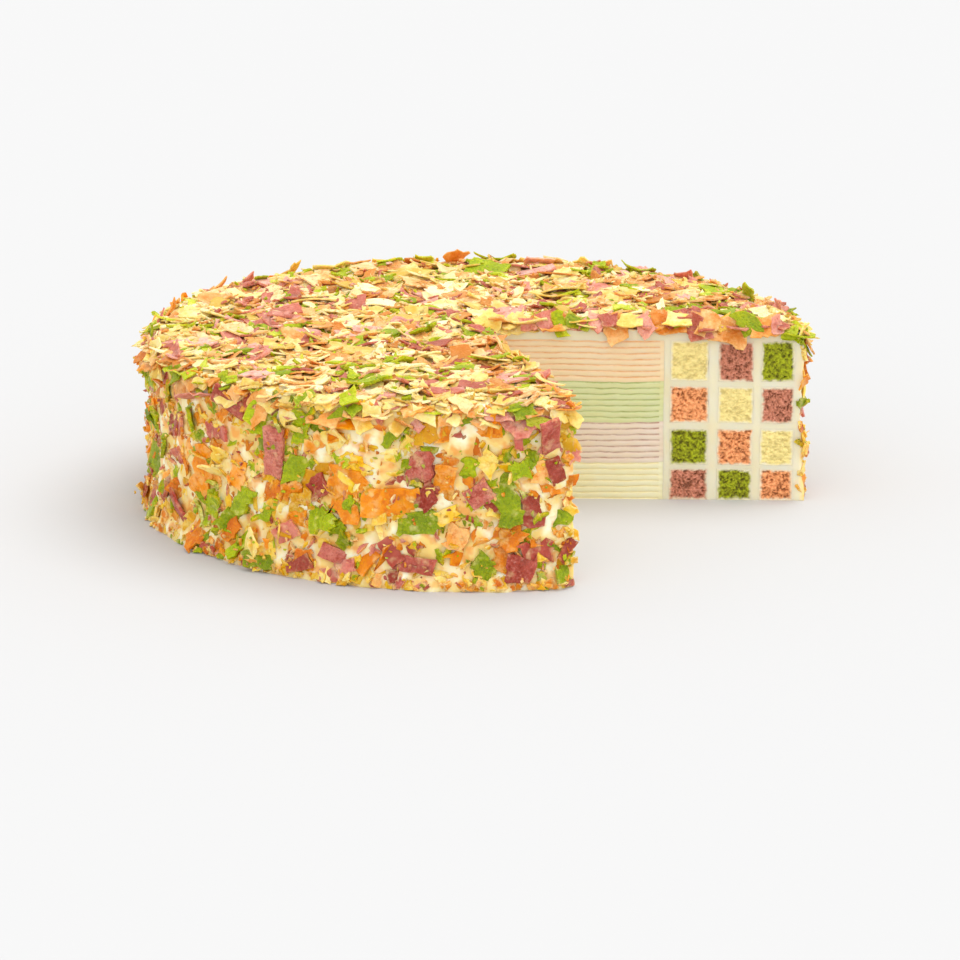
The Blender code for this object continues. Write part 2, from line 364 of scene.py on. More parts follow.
def maths(tree, operation, first, second=0.0, third=0.0):
    node = add_node(tree, "ShaderNodeMath", {"operation": operation}, i0=first, i1=second, i2=third)
    return node.outputs[0]


def times(tree, first, second):
    return maths(tree, "MULTIPLY", first, second)


def times_plus(tree, first, second, third):
    return maths(tree, "MULTIPLY_ADD", first, second, third)


def mixed(tree, share, first, second, blend="MIX"):
    node = add_node(
        tree, "ShaderNodeMix", {"data_type": "RGBA", "blend_type": blend}, i0=share, i6=first, i7=second)
    return node.outputs[2]


def opaque(colour):
    return (*colour, 1.0)


def noise(tree, coords, scale, detail=2.0, rough=0.5):
    node = add_node(
        tree, "ShaderNodeTexNoise", None, Vector=coords, Scale=scale, Detail=detail, Roughness=rough)
    return node.outputs["Fac"]


def remapped(tree, value, low, high, to_low=0.0, to_high=1.0):
    node = add_node(tree, "ShaderNodeMapRange", None, i0=value, i1=low, i2=high, i3=to_low, i4=to_high)
    return node.outputs[0]


def attribute(tree, name):
    return add_node(tree, "ShaderNodeAttribute", {"attribute_name": name}).outputs["Fac"]


def new_food(name, roughness, scatter, radius):
    """A material for food: its tree, its object coordinates, and its shader with light let in."""
    made = bpy.data.materials.new(name)
    made.use_nodes = True
    tree = made.node_tree
    shader = tree.nodes["Principled BSDF"]
    shader.inputs["Roughness"].default_value = roughness
    shader.inputs["Subsurface Weight"].default_value = scatter
    shader.inputs["Subsurface Radius"].default_value = radius
    shader.inputs["Subsurface Scale"].default_value = MM
    coords = add_node(tree, "ShaderNodeTexCoord").outputs["Object"]
    return made, tree, coords, shader


def bump(tree, height, strength, distance, shader):
    node = add_node(
        tree, "ShaderNodeBump", None, Strength=strength, Distance=distance, Height=height)
    tree.links.new(node.outputs["Normal"], shader.inputs["Normal"])


def cream_material(name, colour, stained=False):
    """Whipped cream: nearly even, a little yellower in soft patches. Where stained, its outside is painted
    lighter as painted light, and it is stained where the flakes lie in it.
    """
    made, tree, coords, shader = new_food(name, 0.4, 0.4, (4.0, 2.8, 1.4))
    patches = noise(tree, coords, 90.0, 3.0)
    warm = shifted(colour, (1.0, 0.95, 0.84))
    base = mixed(tree, remapped(tree, patches, 0.35, 0.7), opaque(colour), opaque(warm))
    if stained:
        # The outside is painted 1.2 times lighter: painted light that lifts the shade in the gaps between the
        # flakes
        outside = attribute(tree, "outside")
        base = mixed(tree, outside, base, opaque(shifted(colour, (1.2, 1.2, 1.14))))
        pools = noise(tree, coords, 120.0, 3.0)
        golden = times(tree, outside, remapped(tree, pools, 0.38, 0.56))
        base = mixed(tree, golden, base, opaque(shifted(colour, (1.12, 0.86, 0.36))))
        spots = noise(tree, coords, 190.0, 2.0)
        orange = times(tree, outside, remapped(tree, spots, 0.52, 0.66, 0.0, 0.85))
        base = mixed(tree, orange, base, opaque(shifted(colour, (1.06, 0.48, 0.1))))
    tree.links.new(base, shader.inputs["Base Color"])
    bump(tree, noise(tree, coords, 520.0, 4.0, 0.6), 0.35, 0.3 * MM, shader)
    return made


def crepe_material(name, colour, filling):
    """A crepe's edge: pale like its filling, with a thin darker line that comes and goes along it."""
    made, tree, coords, shader = new_food(name, 0.5, 0.2, (2.0, 1.4, 0.8))
    streaks = noise(tree, coords, 330.0, 4.0, 0.65)
    line = times(tree, attribute(tree, "line"), remapped(tree, streaks, 0.28, 0.6, 0.35, 1.0))
    base = mixed(tree, line, opaque(filling), opaque(colour))
    tree.links.new(base, shader.inputs["Base Color"])
    bump(tree, noise(tree, coords, 1400.0, 3.0), 0.25, 0.12 * MM, shader)
    return made


def sponge_material(name, colour, cream, depth):
    """Sponge crumb: painted shade darkens its pores by this depth and painted highlights pale its lumps, with
    cream over its edges.
    """
    made, tree, coords, shader = new_food(name, 0.8, 0.12, (1.2, 0.7, 0.4))
    grain = noise(tree, coords, 1500.0, 3.0, 0.7)
    uneven = maths(tree, "SUBTRACT", 0.5, grain)
    low_in = times_plus(tree, uneven, depth * 1.6, attribute(tree, "pore"))
    # pale is a painted highlight for the crumb's lumps, and deep is painted shade for its pores
    pale = shifted(colour, (1.0 + 0.42 * depth, 1.0 + 0.5 * depth, 1.0 + 0.7 * depth))
    deep = shifted(colour, (1.0 - 0.68 * depth, 1.0 - 0.76 * depth, 1.0 - 0.85 * depth))
    base = mixed(tree, remapped(tree, low_in, 0.05, 0.45), opaque(pale), opaque(colour))
    base = mixed(tree, remapped(tree, low_in, 0.5, 0.95), base, opaque(deep))
    base = mixed(tree, attribute(tree, "smear"), base, opaque(cream))
    tree.links.new(base, shader.inputs["Base Color"])
    bump(tree, grain, 0.5, 0.25 * MM, shader)
    return made


# What each channel of a flake's colour is multiplied by to darken it one step
SHADES = {"yellow": (0.83, 0.68, 0.42), "orange": (0.82, 0.62, 0.42), "green": (0.76, 0.81, 0.38),
          "mauve": (0.78, 0.62, 0.56)}


def darker(colour, shade, steps):
    """A colour darkened by this many steps of its shade, as a shader takes it."""
    return opaque(shifted(colour, tuple(factor ** steps for factor in shade)))


def body_colour(tree, share, wet, colour, soaked, pale, shade):
    """A flake's patchy body: from dark to pale where it is dry, and from dark to soaked where it is wet."""
    dry = mixed(tree, remapped(tree, share, 0.3, 0.52), darker(colour, shade, 1.0), opaque(colour))
    dry = mixed(tree, remapped(tree, share, 0.5, 0.72), dry, opaque(pale))
    damp = mixed(tree, remapped(tree, share, 0.28, 0.56), darker(soaked, shade, 1.4), opaque(soaked))
    damp = mixed(tree, remapped(tree, share, 0.54, 0.74, 0.0, 0.8), damp, opaque(colour))
    return mixed(tree, wet, dry, damp)


def creamed(tree, coords, base, clouds, wet, pale, cream):
    """The body with a film of cream where it is wet, and a veil that frays inwards from the rim."""
    film = times(tree, wet, remapped(tree, noise(tree, coords, 260.0, 2.0), 0.56, 0.72, 0.0, 0.5))
    base = mixed(tree, film, base, opaque(cream))
    frayed = times_plus(tree, noise(tree, coords, 620.0, 4.0, 0.65), 2.2, attribute(tree, "veil"))
    veiled = remapped(tree, frayed, 1.45, 2.1, 0.0, 0.75)
    stained = opaque(shifted(cream, (1.0, 0.66, 0.22)))
    golden = mixed(tree, remapped(tree, clouds, 0.42, 0.54), opaque(cream), stained)
    return mixed(tree, veiled, base, mixed(tree, wet, opaque(pale), golden))


def shaded_and_glinting(tree, base, pits, grain, wet, pale, shade):
    """The body with painted shade in its pits and painted glints on its grain, which are fewer where it is
    wet.
    """
    amount = times(tree, grain, times_plus(tree, wet, -0.45, 1.0))
    # Painted shade where the bump is low, and painted glints where it is high
    pit_shade_share = times(tree, remapped(tree, pits, 0.5, 0.36, 0.0, 0.9), amount)
    dark = mixed(tree, 1.0, base, darker((1.0, 1.0, 1.0), shade, 2.2), "MULTIPLY")
    base = mixed(tree, pit_shade_share, base, dark)
    glint_share = times(tree, remapped(tree, pits, 0.55, 0.68, 0.0, 0.55), amount)
    return mixed(tree, glint_share, base, opaque(pale))


def flake_material(name, colour, soaked, pale, cream, shade):
    """A broken flake: dry and patchy on the top; deeper, glossier and smeared with cream where it is wet."""
    made, tree, coords, shader = new_food(name, 0.5, 0.35, (3.0, 1.7, 0.7))
    shader.inputs["Specular IOR Level"].default_value = 0.28
    tone, wet, grain = (attribute(tree, value) for value in ("tone", "wet", "grain"))
    clouds = noise(tree, coords, 170.0, 3.0, 0.6)
    coarse = noise(tree, coords, 420.0, 3.0, 0.6)
    pits = noise(tree, coords, 1100.0, 4.0, 0.65)
    share = times_plus(tree, tone, 0.17, clouds)
    base = body_colour(tree, share, wet, colour, soaked, pale, shade)
    base = creamed(tree, coords, base, clouds, wet, pale, cream)
    # Painted shade darkens a wet flake where its bump has hollows
    hollow_shade_share = times(tree, remapped(tree, coarse, 0.46, 0.34, 0.0, 0.6), wet)
    base = mixed(tree, hollow_shade_share, base, darker(soaked, shade, 2.0))
    # Painted shade in the pits and painted glints on the grain
    base = shaded_and_glinting(tree, base, pits, grain, wet, pale, shade)
    # Tone moves each flake's brightness at random; wet flakes, those on the side, get five percent of painted
    # light
    brightness = times_plus(tree, tone, 0.1, times_plus(tree, wet, 0.05, 1.0))
    lit = add_node(tree, "ShaderNodeHueSaturation", None, Saturation=1.08, Color=base, Value=brightness)
    tree.links.new(lit.outputs["Color"], shader.inputs["Base Color"])
    tree.links.new(times_plus(tree, wet, -0.25, 0.55), shader.inputs["Roughness"])
    height = times_plus(tree, coarse, 1.6, pits)
    bump(tree, times(tree, height, times_plus(tree, grain, 0.75, 0.25)), 1.0, 0.75 * MM, shader)
    return made


# Crepes, fillings, sponge squares and cream

STACK_STEPS = 30  # how many steps the spin of a crepe or a filling has
STACK_COLUMNS = 44  # how many cells a crepe has from the axis to its rim
SKIN_DEPTH = 0.03 * MM  # how far crepes and fillings lie behind the solids' face of the cut
LINE_DEPTH = 0.25 * MM  # how far behind it the middle of a crepe's edge lies
FIN_LEVELS = (0.25, 0.75)  # where a fin of filling has levels of its own, from crepe to crepe
FIN_SWELL = 0.07 * MM  # how far a fin swells out of the cut


def everywhere(radii, heights):
    return np.ones(len(radii), bool)


def build_crepes(sizes, colours):
    """Each crepe is a thin wavy disc whose cut edge lies a little behind the filling."""
    radii = np.linspace(0.0, CREPE_RADIUS, STACK_COLUMNS + 1)
    made_of = {band: crepe_material(f"crepe_{band}", linear(getattr(colours, f"crepe_{band}")),
                                    linear(getattr(colours, f"filling_{band}"))) for band in BANDS}
    for node in CREPE_NODES:
        low, high = ring(node)[2:]
        band = node.split("_")[1]
        levels = np.linspace(low, high, 3)
        obj = spun(f"{node}_soft", radii, levels, everywhere, STACK_STEPS)
        points = points_of(obj.data)
        faces = cut_faces(points)
        middle = np.abs(points[:, 2] - levels[1]) < TOUCH
        wander = lattice_noise(points, 1.8 * MM, 21)
        depths = np.where(middle, -LINE_DEPTH, -SKIN_DEPTH) + 0.06 * MM * wander
        moved = pushed(points, faces, depths)
        moved[middle, 2] += 0.12 * MM * lattice_noise(points[middle], 2.6 * MM, 23)
        set_points(obj.data, swayed(moved, sizes))
        strength = 0.75 + 0.35 * lattice_noise(points, 5 * MM, 24)
        float_attribute(obj.data, "line", np.where(middle, np.clip(strength, 0.2, 1.0), 0.0))
        obj.data.materials.append(made_of[band])
        finish(obj)
        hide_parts(node)


def build_fillings(sizes, colours):
    """Each band's filling is a rim with a fin under each crepe, which swells out between the crepes."""
    rim = FILLING_RADIUS + CLEARANCE / 2
    radii = np.append(np.linspace(0.0, CREPE_RADIUS, STACK_COLUMNS + 1), [0.5 * (CREPE_RADIUS + rim), rim])
    crepes = [ring(node)[2:] for node in CREPE_NODES]
    for place, band in enumerate(BANDS):
        node = f"filling_{band}"
        first = BAND_CREPES * place
        after = first + BAND_CREPES
        own = crepes[first:after]
        floor = crepes[after][1] if after < len(crepes) else 0.0
        heights = {floor, own[0][1]}
        for index, (low, high) in enumerate(own, first):
            heights |= {low, high}
            if index + 1 < len(crepes):
                under = crepes[index + 1][1]
                heights |= {under + share * (low - under) for share in FIN_LEVELS}

        def solid(r, z):
            in_crepe = np.any([(z > low) & (z < high) for low, high in own], axis=0)
            return (r > CREPE_RADIUS) | ~in_crepe

        obj = spun(f"{node}_soft", radii, np.array(sorted(heights)), solid, STACK_STEPS)
        points = points_of(obj.data)
        from_crepe = np.abs(points[:, 2:] - np.ravel(crepes)).min(axis=1)
        swell = ramp(from_crepe, 0.0, 0.3 * MM)
        depths = -SKIN_DEPTH + FIN_SWELL * swell + 0.05 * MM * lattice_noise(points, 2.5 * MM, 22)
        set_points(obj.data, swayed(pushed(points, cut_faces(points), depths), sizes))
        obj.data.materials.append(cream_material(node, linear(getattr(colours, node))))
        finish(obj)
        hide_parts(node)


SPONGE_STEPS = 96  # how many steps the spin of a sponge square has
CRUMB_CUTS = 60  # how finely its cut face is divided
# Each sponge's size of pore, how flat its pores lie, how deep they are in shape, and how strong its painted
# pore shade and lump highlights are
CRUMB = {"yellow": (1.25 * MM, 1.5, 0.55, 0.34), "mauve": (0.95 * MM, 1.0, 1.0, 0.85),
         "green": (0.95 * MM, 1.0, 1.0, 0.85), "orange": (1.1 * MM, 1.15, 1.0, 0.85)}


def crumb(points, size, flat):
    """How low each point of a cut face lies in the sponge's crumb, from 0 on its lumps to 1 in its pores."""
    stretched = points * np.array([1.0, 1.0, flat])
    rough = (0.42 * lattice_noise(stretched, size, 31) + 0.36 * lattice_noise(stretched, 0.55 * size, 32)
             + 0.32 * lattice_noise(stretched, 0.36 * size, 33))
    holes = ramp(lattice_noise(stretched, 1.3 * size, 34), 0.35, 0.75)
    return np.clip(0.42 - 1.0 * rough + 0.35 * holes, 0, 1)


def build_sponges(sizes, colours):
    """Each sponge square is a bar round the cake, with an open crumb where it is cut."""
    cream = linear(colours.cream)
    made_of = {}
    for tint in SPONGES:
        colour = linear(getattr(colours, f"sponge_{tint}"))
        made_of[tint] = sponge_material(f"sponge_{tint}", colour, cream, CRUMB[tint][3])
    grow = CLEARANCE / 2
    for row in range(SPONGE_ROWS):
        for column in range(SPONGE_COLUMNS):
            node = f"sponge_r{row + 1}c{column + 1}"
            tint = SPONGES[(column - row) % len(SPONGES)]
            size, flat, deep, _ = CRUMB[tint]
            inner, outer, low, high = ring(node)
            inner, outer, high = inner - grow, outer + grow, high + grow
            low = low - grow if low > grow else low
            obj = spun(f"{node}_soft", [inner, outer], [low, high], everywhere, SPONGE_STEPS)
            refine(obj, on_cut(obj), CRUMB_CUTS)
            points = points_of(obj.data)
            faces = cut_faces(points)
            radii = radii_of(points)
            edge = np.minimum.reduce([radii - inner, outer - radii, points[:, 2] - low, high - points[:, 2]])
            low_in = crumb(points, size, flat)
            inside = ramp(edge, 0.0, 1.5 * MM)
            depth = sizes.crumb_depth * deep
            depths = 0.05 * MM + inside * (0.3 * depth - depth * low_in)
            set_points(obj.data, swayed(pushed(points, faces, depths), sizes))
            shown = faces[0] | faces[1]
            rim = lattice_noise(points, 1.6 * MM, 37) * 0.4 * MM
            rim += lattice_noise(points, 0.7 * MM, 38) * 0.25 * MM
            smear = 1 - ramp(edge + rim, 0.0, 1.15 * MM)
            float_attribute(obj.data, "pore", np.where(shown, low_in, 0.5))
            float_attribute(obj.data, "smear", np.where(shown, 0.9 * smear, 0.0))
            obj.data.materials.append(made_of[tint])
            finish(obj, 180.0)
            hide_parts(node)


CREAM_STEPS = 104  # how many steps the spin of the coat has
CREAM_CELL = 4.5 * MM  # the widest cell of the coat's section
CREAM_CUTS = 3  # how finely its outside and its cut faces are divided
SET_BACK = 0.3 * MM  # how far the spread cream lies inside the solid coat, apart from its relief
SKIN = 0.2 * MM  # how near to the coat's radius a point of its side lies
EDGE_ROUND = 3.0 * MM
FOOT_SWELL = 2.2 * MM
FOOT_HEIGHT = 9 * MM
TOP_RELIEF = 0.5  # how much of the side's relief the top has


def lines(marks, widest):
    """The marks, with more levels between them wherever they are further apart than widest."""
    found = [marks[-1]]
    for low, high in zip(marks, marks[1:]):
        found += list(np.linspace(low, high, max(1, math.ceil((high - low) / widest)) + 1)[:-1])
    return sorted(found)


def coat_sides(points):
    """Which points lie on the coat's side, and which on its top."""
    return radii_of(points) > COAT_RADIUS - SKIN, points[:, 2] > COAT_HEIGHT - TOUCH


def relief(points, sizes):
    """How far the spread cream stands out at these places. It swells at the cake's foot."""
    marks = lattice_noise(points, 8 * MM, 43) + 0.5 * lattice_noise(points, 3.2 * MM, 44)
    return sizes.cream_relief * marks + FOOT_SWELL * (1 - ramp(points[:, 2], 0.0, FOOT_HEIGHT))


def build_cream(sizes, colours):
    """The coat with its walls and shelves, which hold the sponge squares all round."""
    grow = CLEARANCE / 2
    columns = [ring(f"sponge_r1c{column}")[:2] for column in range(1, SPONGE_COLUMNS + 1)]
    rows = [ring(f"sponge_r{row}c1")[2:] for row in range(1, SPONGE_ROWS + 1)]
    rooms = [(inner - grow, outer + grow, low - grow if low > grow else low, high + grow)
             for low, high in rows for inner, outer in columns]
    rooms.append((0.0, FILLING_RADIUS + grow, 0.0, STACK_TOP))
    marks_r = sorted({0.0, COAT_RADIUS} | {room[side] for room in rooms for side in (0, 1)})
    marks_z = sorted({0.0, COAT_HEIGHT} | {room[side] for room in rooms for side in (2, 3)})

    def solid(r, z):
        empty = [(r > room[0]) & (r < room[1]) & (z > room[2]) & (z < room[3]) for room in rooms]
        return ~np.any(empty, axis=0)

    obj = spun("cream_soft", lines(marks_r, CREAM_CELL), lines(marks_z, CREAM_CELL), solid, CREAM_STEPS)
    side, top = coat_sides(face_centres(obj.data))
    refine(obj, on_cut(obj) | side | top, CREAM_CUTS)
    points = points_of(obj.data)
    depths = 0.05 * MM + 0.1 * MM * lattice_noise(points, 3 * MM, 41)
    depths += 0.12 * MM * lattice_noise(points, 9 * MM, 42)
    moved = pushed(points, cut_faces(points), depths)
    spread = relief(points, sizes)
    side, top = coat_sides(points)
    squeezed = 0.4 * MM * ramp(lattice_noise(points, 6 * MM, 45), -0.3, 0.5)
    moved[side] += ways_out(points)[side] * (spread[side] + squeezed[side] - SET_BACK)[:, None]
    moved[top, 2] += TOP_RELIEF * spread[top] - SET_BACK
    moved = rounded_rim(moved, points)
    set_points(obj.data, swayed(moved, sizes))
    # outside marks the coat's side and top, which its material paints lighter as painted light, and stains
    float_attribute(obj.data, "outside", np.where(side | top, 1.0, 0.0))
    obj.data.materials.append(cream_material("cream", linear(colours.cream), stained=True))
    finish(obj, 50.0)
    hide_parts("cream")


def rounded_rim(moved, points):
    """The coat's top outer edge, drawn in to a soft round."""
    past_r = np.maximum(radii_of(points) - (COAT_RADIUS - EDGE_ROUND), 0)
    past_z = np.maximum(points[:, 2] - (COAT_HEIGHT - EDGE_ROUND), 0)
    reach = np.hypot(past_r, past_z)
    over = (reach > EDGE_ROUND) & (past_r > 0) & (past_z > 0)
    share = np.where(over, EDGE_ROUND / np.maximum(reach, WELD) - 1, 0.0)
    moved = moved + ways_out(points) * (past_r * share)[:, None]
    moved[:, 2] += past_z * share
    return moved


# Flakes

SIDE_BED = 0.4 * MM  # how far inside the solid coat the side's bed lies


class Bed:
    """A surface that flakes are laid on, unrolled flat, with a map of how high they lie on it so far."""

    CELL = 0.8 * MM

    def __init__(self, low, high, to_cake, share, sizes):
        self.low = np.array(low)
        shape = np.ceil((np.array(high) - self.low) / self.CELL).astype(int) + 1
        spots = self.low + self.CELL * np.indices(shape).reshape(2, -1).T
        places = to_cake(np.column_stack((spots, np.zeros(len(spots)))))
        self.map = share * relief(places, sizes).reshape(shape)

    def cells(self, spots):
        found = np.rint((spots - self.low) / self.CELL).astype(int)
        return np.clip(found, 0, np.array(self.map.shape) - 1).T

    def heights(self, spots):
        across, along = self.cells(spots)
        return self.map[across, along]

    def pile(self, spots, levels):
        across, along = self.cells(spots)
        np.maximum.at(self.map, (across, along), levels)


def blank_shard(name, columns, rows):
    """A flat two-skinned blank from -1 to 1 each way, to be broken and curled into flakes."""
    deselect()
    bpy.ops.mesh.primitive_grid_add(x_subdivisions=columns, y_subdivisions=rows, size=2.0, location=(0, 0, 0))
    obj = bpy.context.object
    obj.name = name
    skin = obj.modifiers.new("skins", "SOLIDIFY")
    skin.thickness = 2.0
    skin.offset = 0.0
    bpy.ops.object.modifier_apply(modifier=skin.name)
    return taken(obj)


def blank_crumb():
    """A rough ball, to be squashed into crumbs."""
    deselect()
    bpy.ops.mesh.primitive_ico_sphere_add(subdivisions=1, radius=1.0, location=(0, 0, 0))
    return taken(bpy.context.object)


def taken(obj):
    """The blank's points and faces. The blank itself leaves the scene."""
    points = points_of(obj.data)
    faces = [tuple(face.vertices) for face in obj.data.polygons]
    mesh = obj.data
    bpy.data.objects.remove(obj, do_unlink=True)
    bpy.data.meshes.remove(mesh)
    return points, faces


def broken(blank, length, width, thickness, curl, ragged, rough, least, draw):
    """One flake's points lying flat, and which of them are on its rim.

    Its corners are uneven, down to the least share, its sides are ragged, its skin is rough, and it curls.
    """
    u, v, w = blank.T
    corners = draw.uniform(least, 1.0, (2, 2, 2))
    right, far = (u + 1) / 2, (v + 1) / 2
    pull = [
        (corners[0, 0, k] * (1 - right) * (1 - far) + corners[1, 0, k] * right * (1 - far)
         + corners[0, 1, k] * (1 - right) * far + corners[1, 1, k] * right * far) for k in (0, 1)]
    skew = draw.uniform(-0.8, 0.8) * (1 - least)
    order = np.lexsort((w, np.round(v, 4), np.round(u, 4)))
    place = np.empty(len(u), int)
    place[order] = np.arange(len(u)) // 2
    jag = draw.uniform(-1, 1, (len(u) // 2, 3))[place]
    on_edge = (np.abs(u) > 0.999) | (np.abs(v) > 0.999)
    tear = ragged * width * np.where(on_edge, 1.0, 0.4)
    x = u * pull[0] * length / 2 + v * skew * width / 2 + jag[:, 0] * tear
    y = v * pull[1] * width / 2 + jag[:, 1] * tear
    way = draw.uniform(-0.6, 0.6)
    along = (x * math.cos(way) + y * math.sin(way)) / (length / 2)
    across = (y * math.cos(way) - x * math.sin(way)) / (length / 2)
    rise = curl * (along ** 2 + draw.uniform(-0.8, 0.8) * across * along)
    rise = rise + jag[:, 2] * rough
    thin = np.where(on_edge, 0.75, 1.0)
    return np.column_stack((x, y, rise + w * thin * thickness / 2)), on_edge.astype(float)


def lumped(blank, size, draw):
    """One crumb's points: a ball squashed three ways, with every point drawn in or out."""
    scale = size * draw.uniform(0.25, 1.0, 3)
    scale[2] *= 0.6
    return blank * scale * draw.uniform(0.45, 1.3, (len(blank), 1))


STEEPEST = 0.35  # the steepest slope of what lies under a flake that it still follows


def laid(bed, shape, spot, turn, lean, sink, clear, draw):
    """The flake set down on the bed: along what lies under it, leaning a little more, without floating.

    It is lifted until this share of its points is clear of the bed, and then sunk a little.
    """
    spin = np.array([[math.cos(turn), math.sin(turn), 0], [-math.sin(turn), math.cos(turn), 0], [0, 0, 1]])
    shape = shape @ spin
    under = bed.heights(spot + shape[:, :2])
    fitted = np.column_stack((shape[:, :2], np.ones(len(shape))))
    slope = np.clip(np.linalg.lstsq(fitted, under, rcond=None)[0][:2], -STEEPEST, STEEPEST)
    way = draw.uniform(0, math.tau)
    slope = slope + math.tan(lean) * np.array([math.cos(way), math.sin(way)])
    normal = np.array([-slope[0], -slope[1], 1.0])
    normal /= np.linalg.norm(normal)
    first = np.array([1.0, 0.0, slope[0]])
    first /= np.linalg.norm(first)
    second = np.cross(normal, first)
    turned = shape[:, :1] * first + shape[:, 1:2] * second + shape[:, 2:] * normal
    lifts = bed.heights(spot + turned[:, :2]) - turned[:, 2]
    turned[:, 2] += np.quantile(lifts, clear) - sink
    turned[:, :2] += spot
    return turned


def on_top(flat):
    """Points of the top's bed, in the cake."""
    return flat + np.array([0, 0, COAT_HEIGHT - SET_BACK])


def on_side(flat):
    """Points of the side's bed, in the cake. The first value runs along the rim, and the second is up."""
    azimuth = flat[:, 0] / COAT_RADIUS
    radius = COAT_RADIUS - SIDE_BED + flat[:, 2]
    return np.column_stack((radius * np.cos(azimuth), radius * np.sin(azimuth), flat[:, 1]))


def out_of_cut(points, overhang):
    """The shift that keeps a flake from reaching further than overhang into the cut."""
    start = (points @ START_OUT).max() - overhang
    end = (points @ END_OUT).max() - overhang
    if min(start, end) <= 0:
        return np.zeros(3)
    return -START_OUT * start if start < end else -END_OUT * end


class Flakes:
    """All the flakes of one colour, gathered into one mesh."""

    def __init__(self):
        self.points, self.faces, self.values, self.count = [], [], [], 0

    def add(self, points, faces, veil, tone, wet, grain):
        self.points.append(points)
        self.faces.append([tuple(self.count + corner for corner in face) for face in faces])
        self.values.append(np.column_stack((np.tile((tone, wet, grain), (len(points), 1)), veil)))
        self.count += len(points)

    def build(self, name, made_of):
        mesh = bpy.data.meshes.new(name)
        faces = [face for group in self.faces for face in group]
        mesh.from_pydata(np.concatenate(self.points), [], faces)
        values = np.concatenate(self.values)
        for column, attribute_name in enumerate(("tone", "wet", "grain", "veil")):
            float_attribute(mesh, attribute_name, values[:, column])
        mesh.materials.append(made_of)
        obj = bpy.data.objects.new(name, mesh)
        bpy.context.scene.collection.objects.link(obj)
        return obj


# How often each colour falls, on the top and on the side, from yellow to mauve
TOP_SHARES = (0.42, 0.33, 0.11, 0.14)
SIDE_SHARES = (0.33, 0.31, 0.2, 0.16)
# How rough each colour's flakes are, and how often they keep their corners and break into strips
GRAIN = (0.2, 0.35, 0.8, 0.5)
SQUARE = (0.08, 0.05, 0.03, 0.4)
STRIP = (0.12, 0.12, 0.12, 0.35)
# Flakes longer than these are made from the large and from the medium blank
LARGE = 12 * MM
MEDIUM = 5 * MM

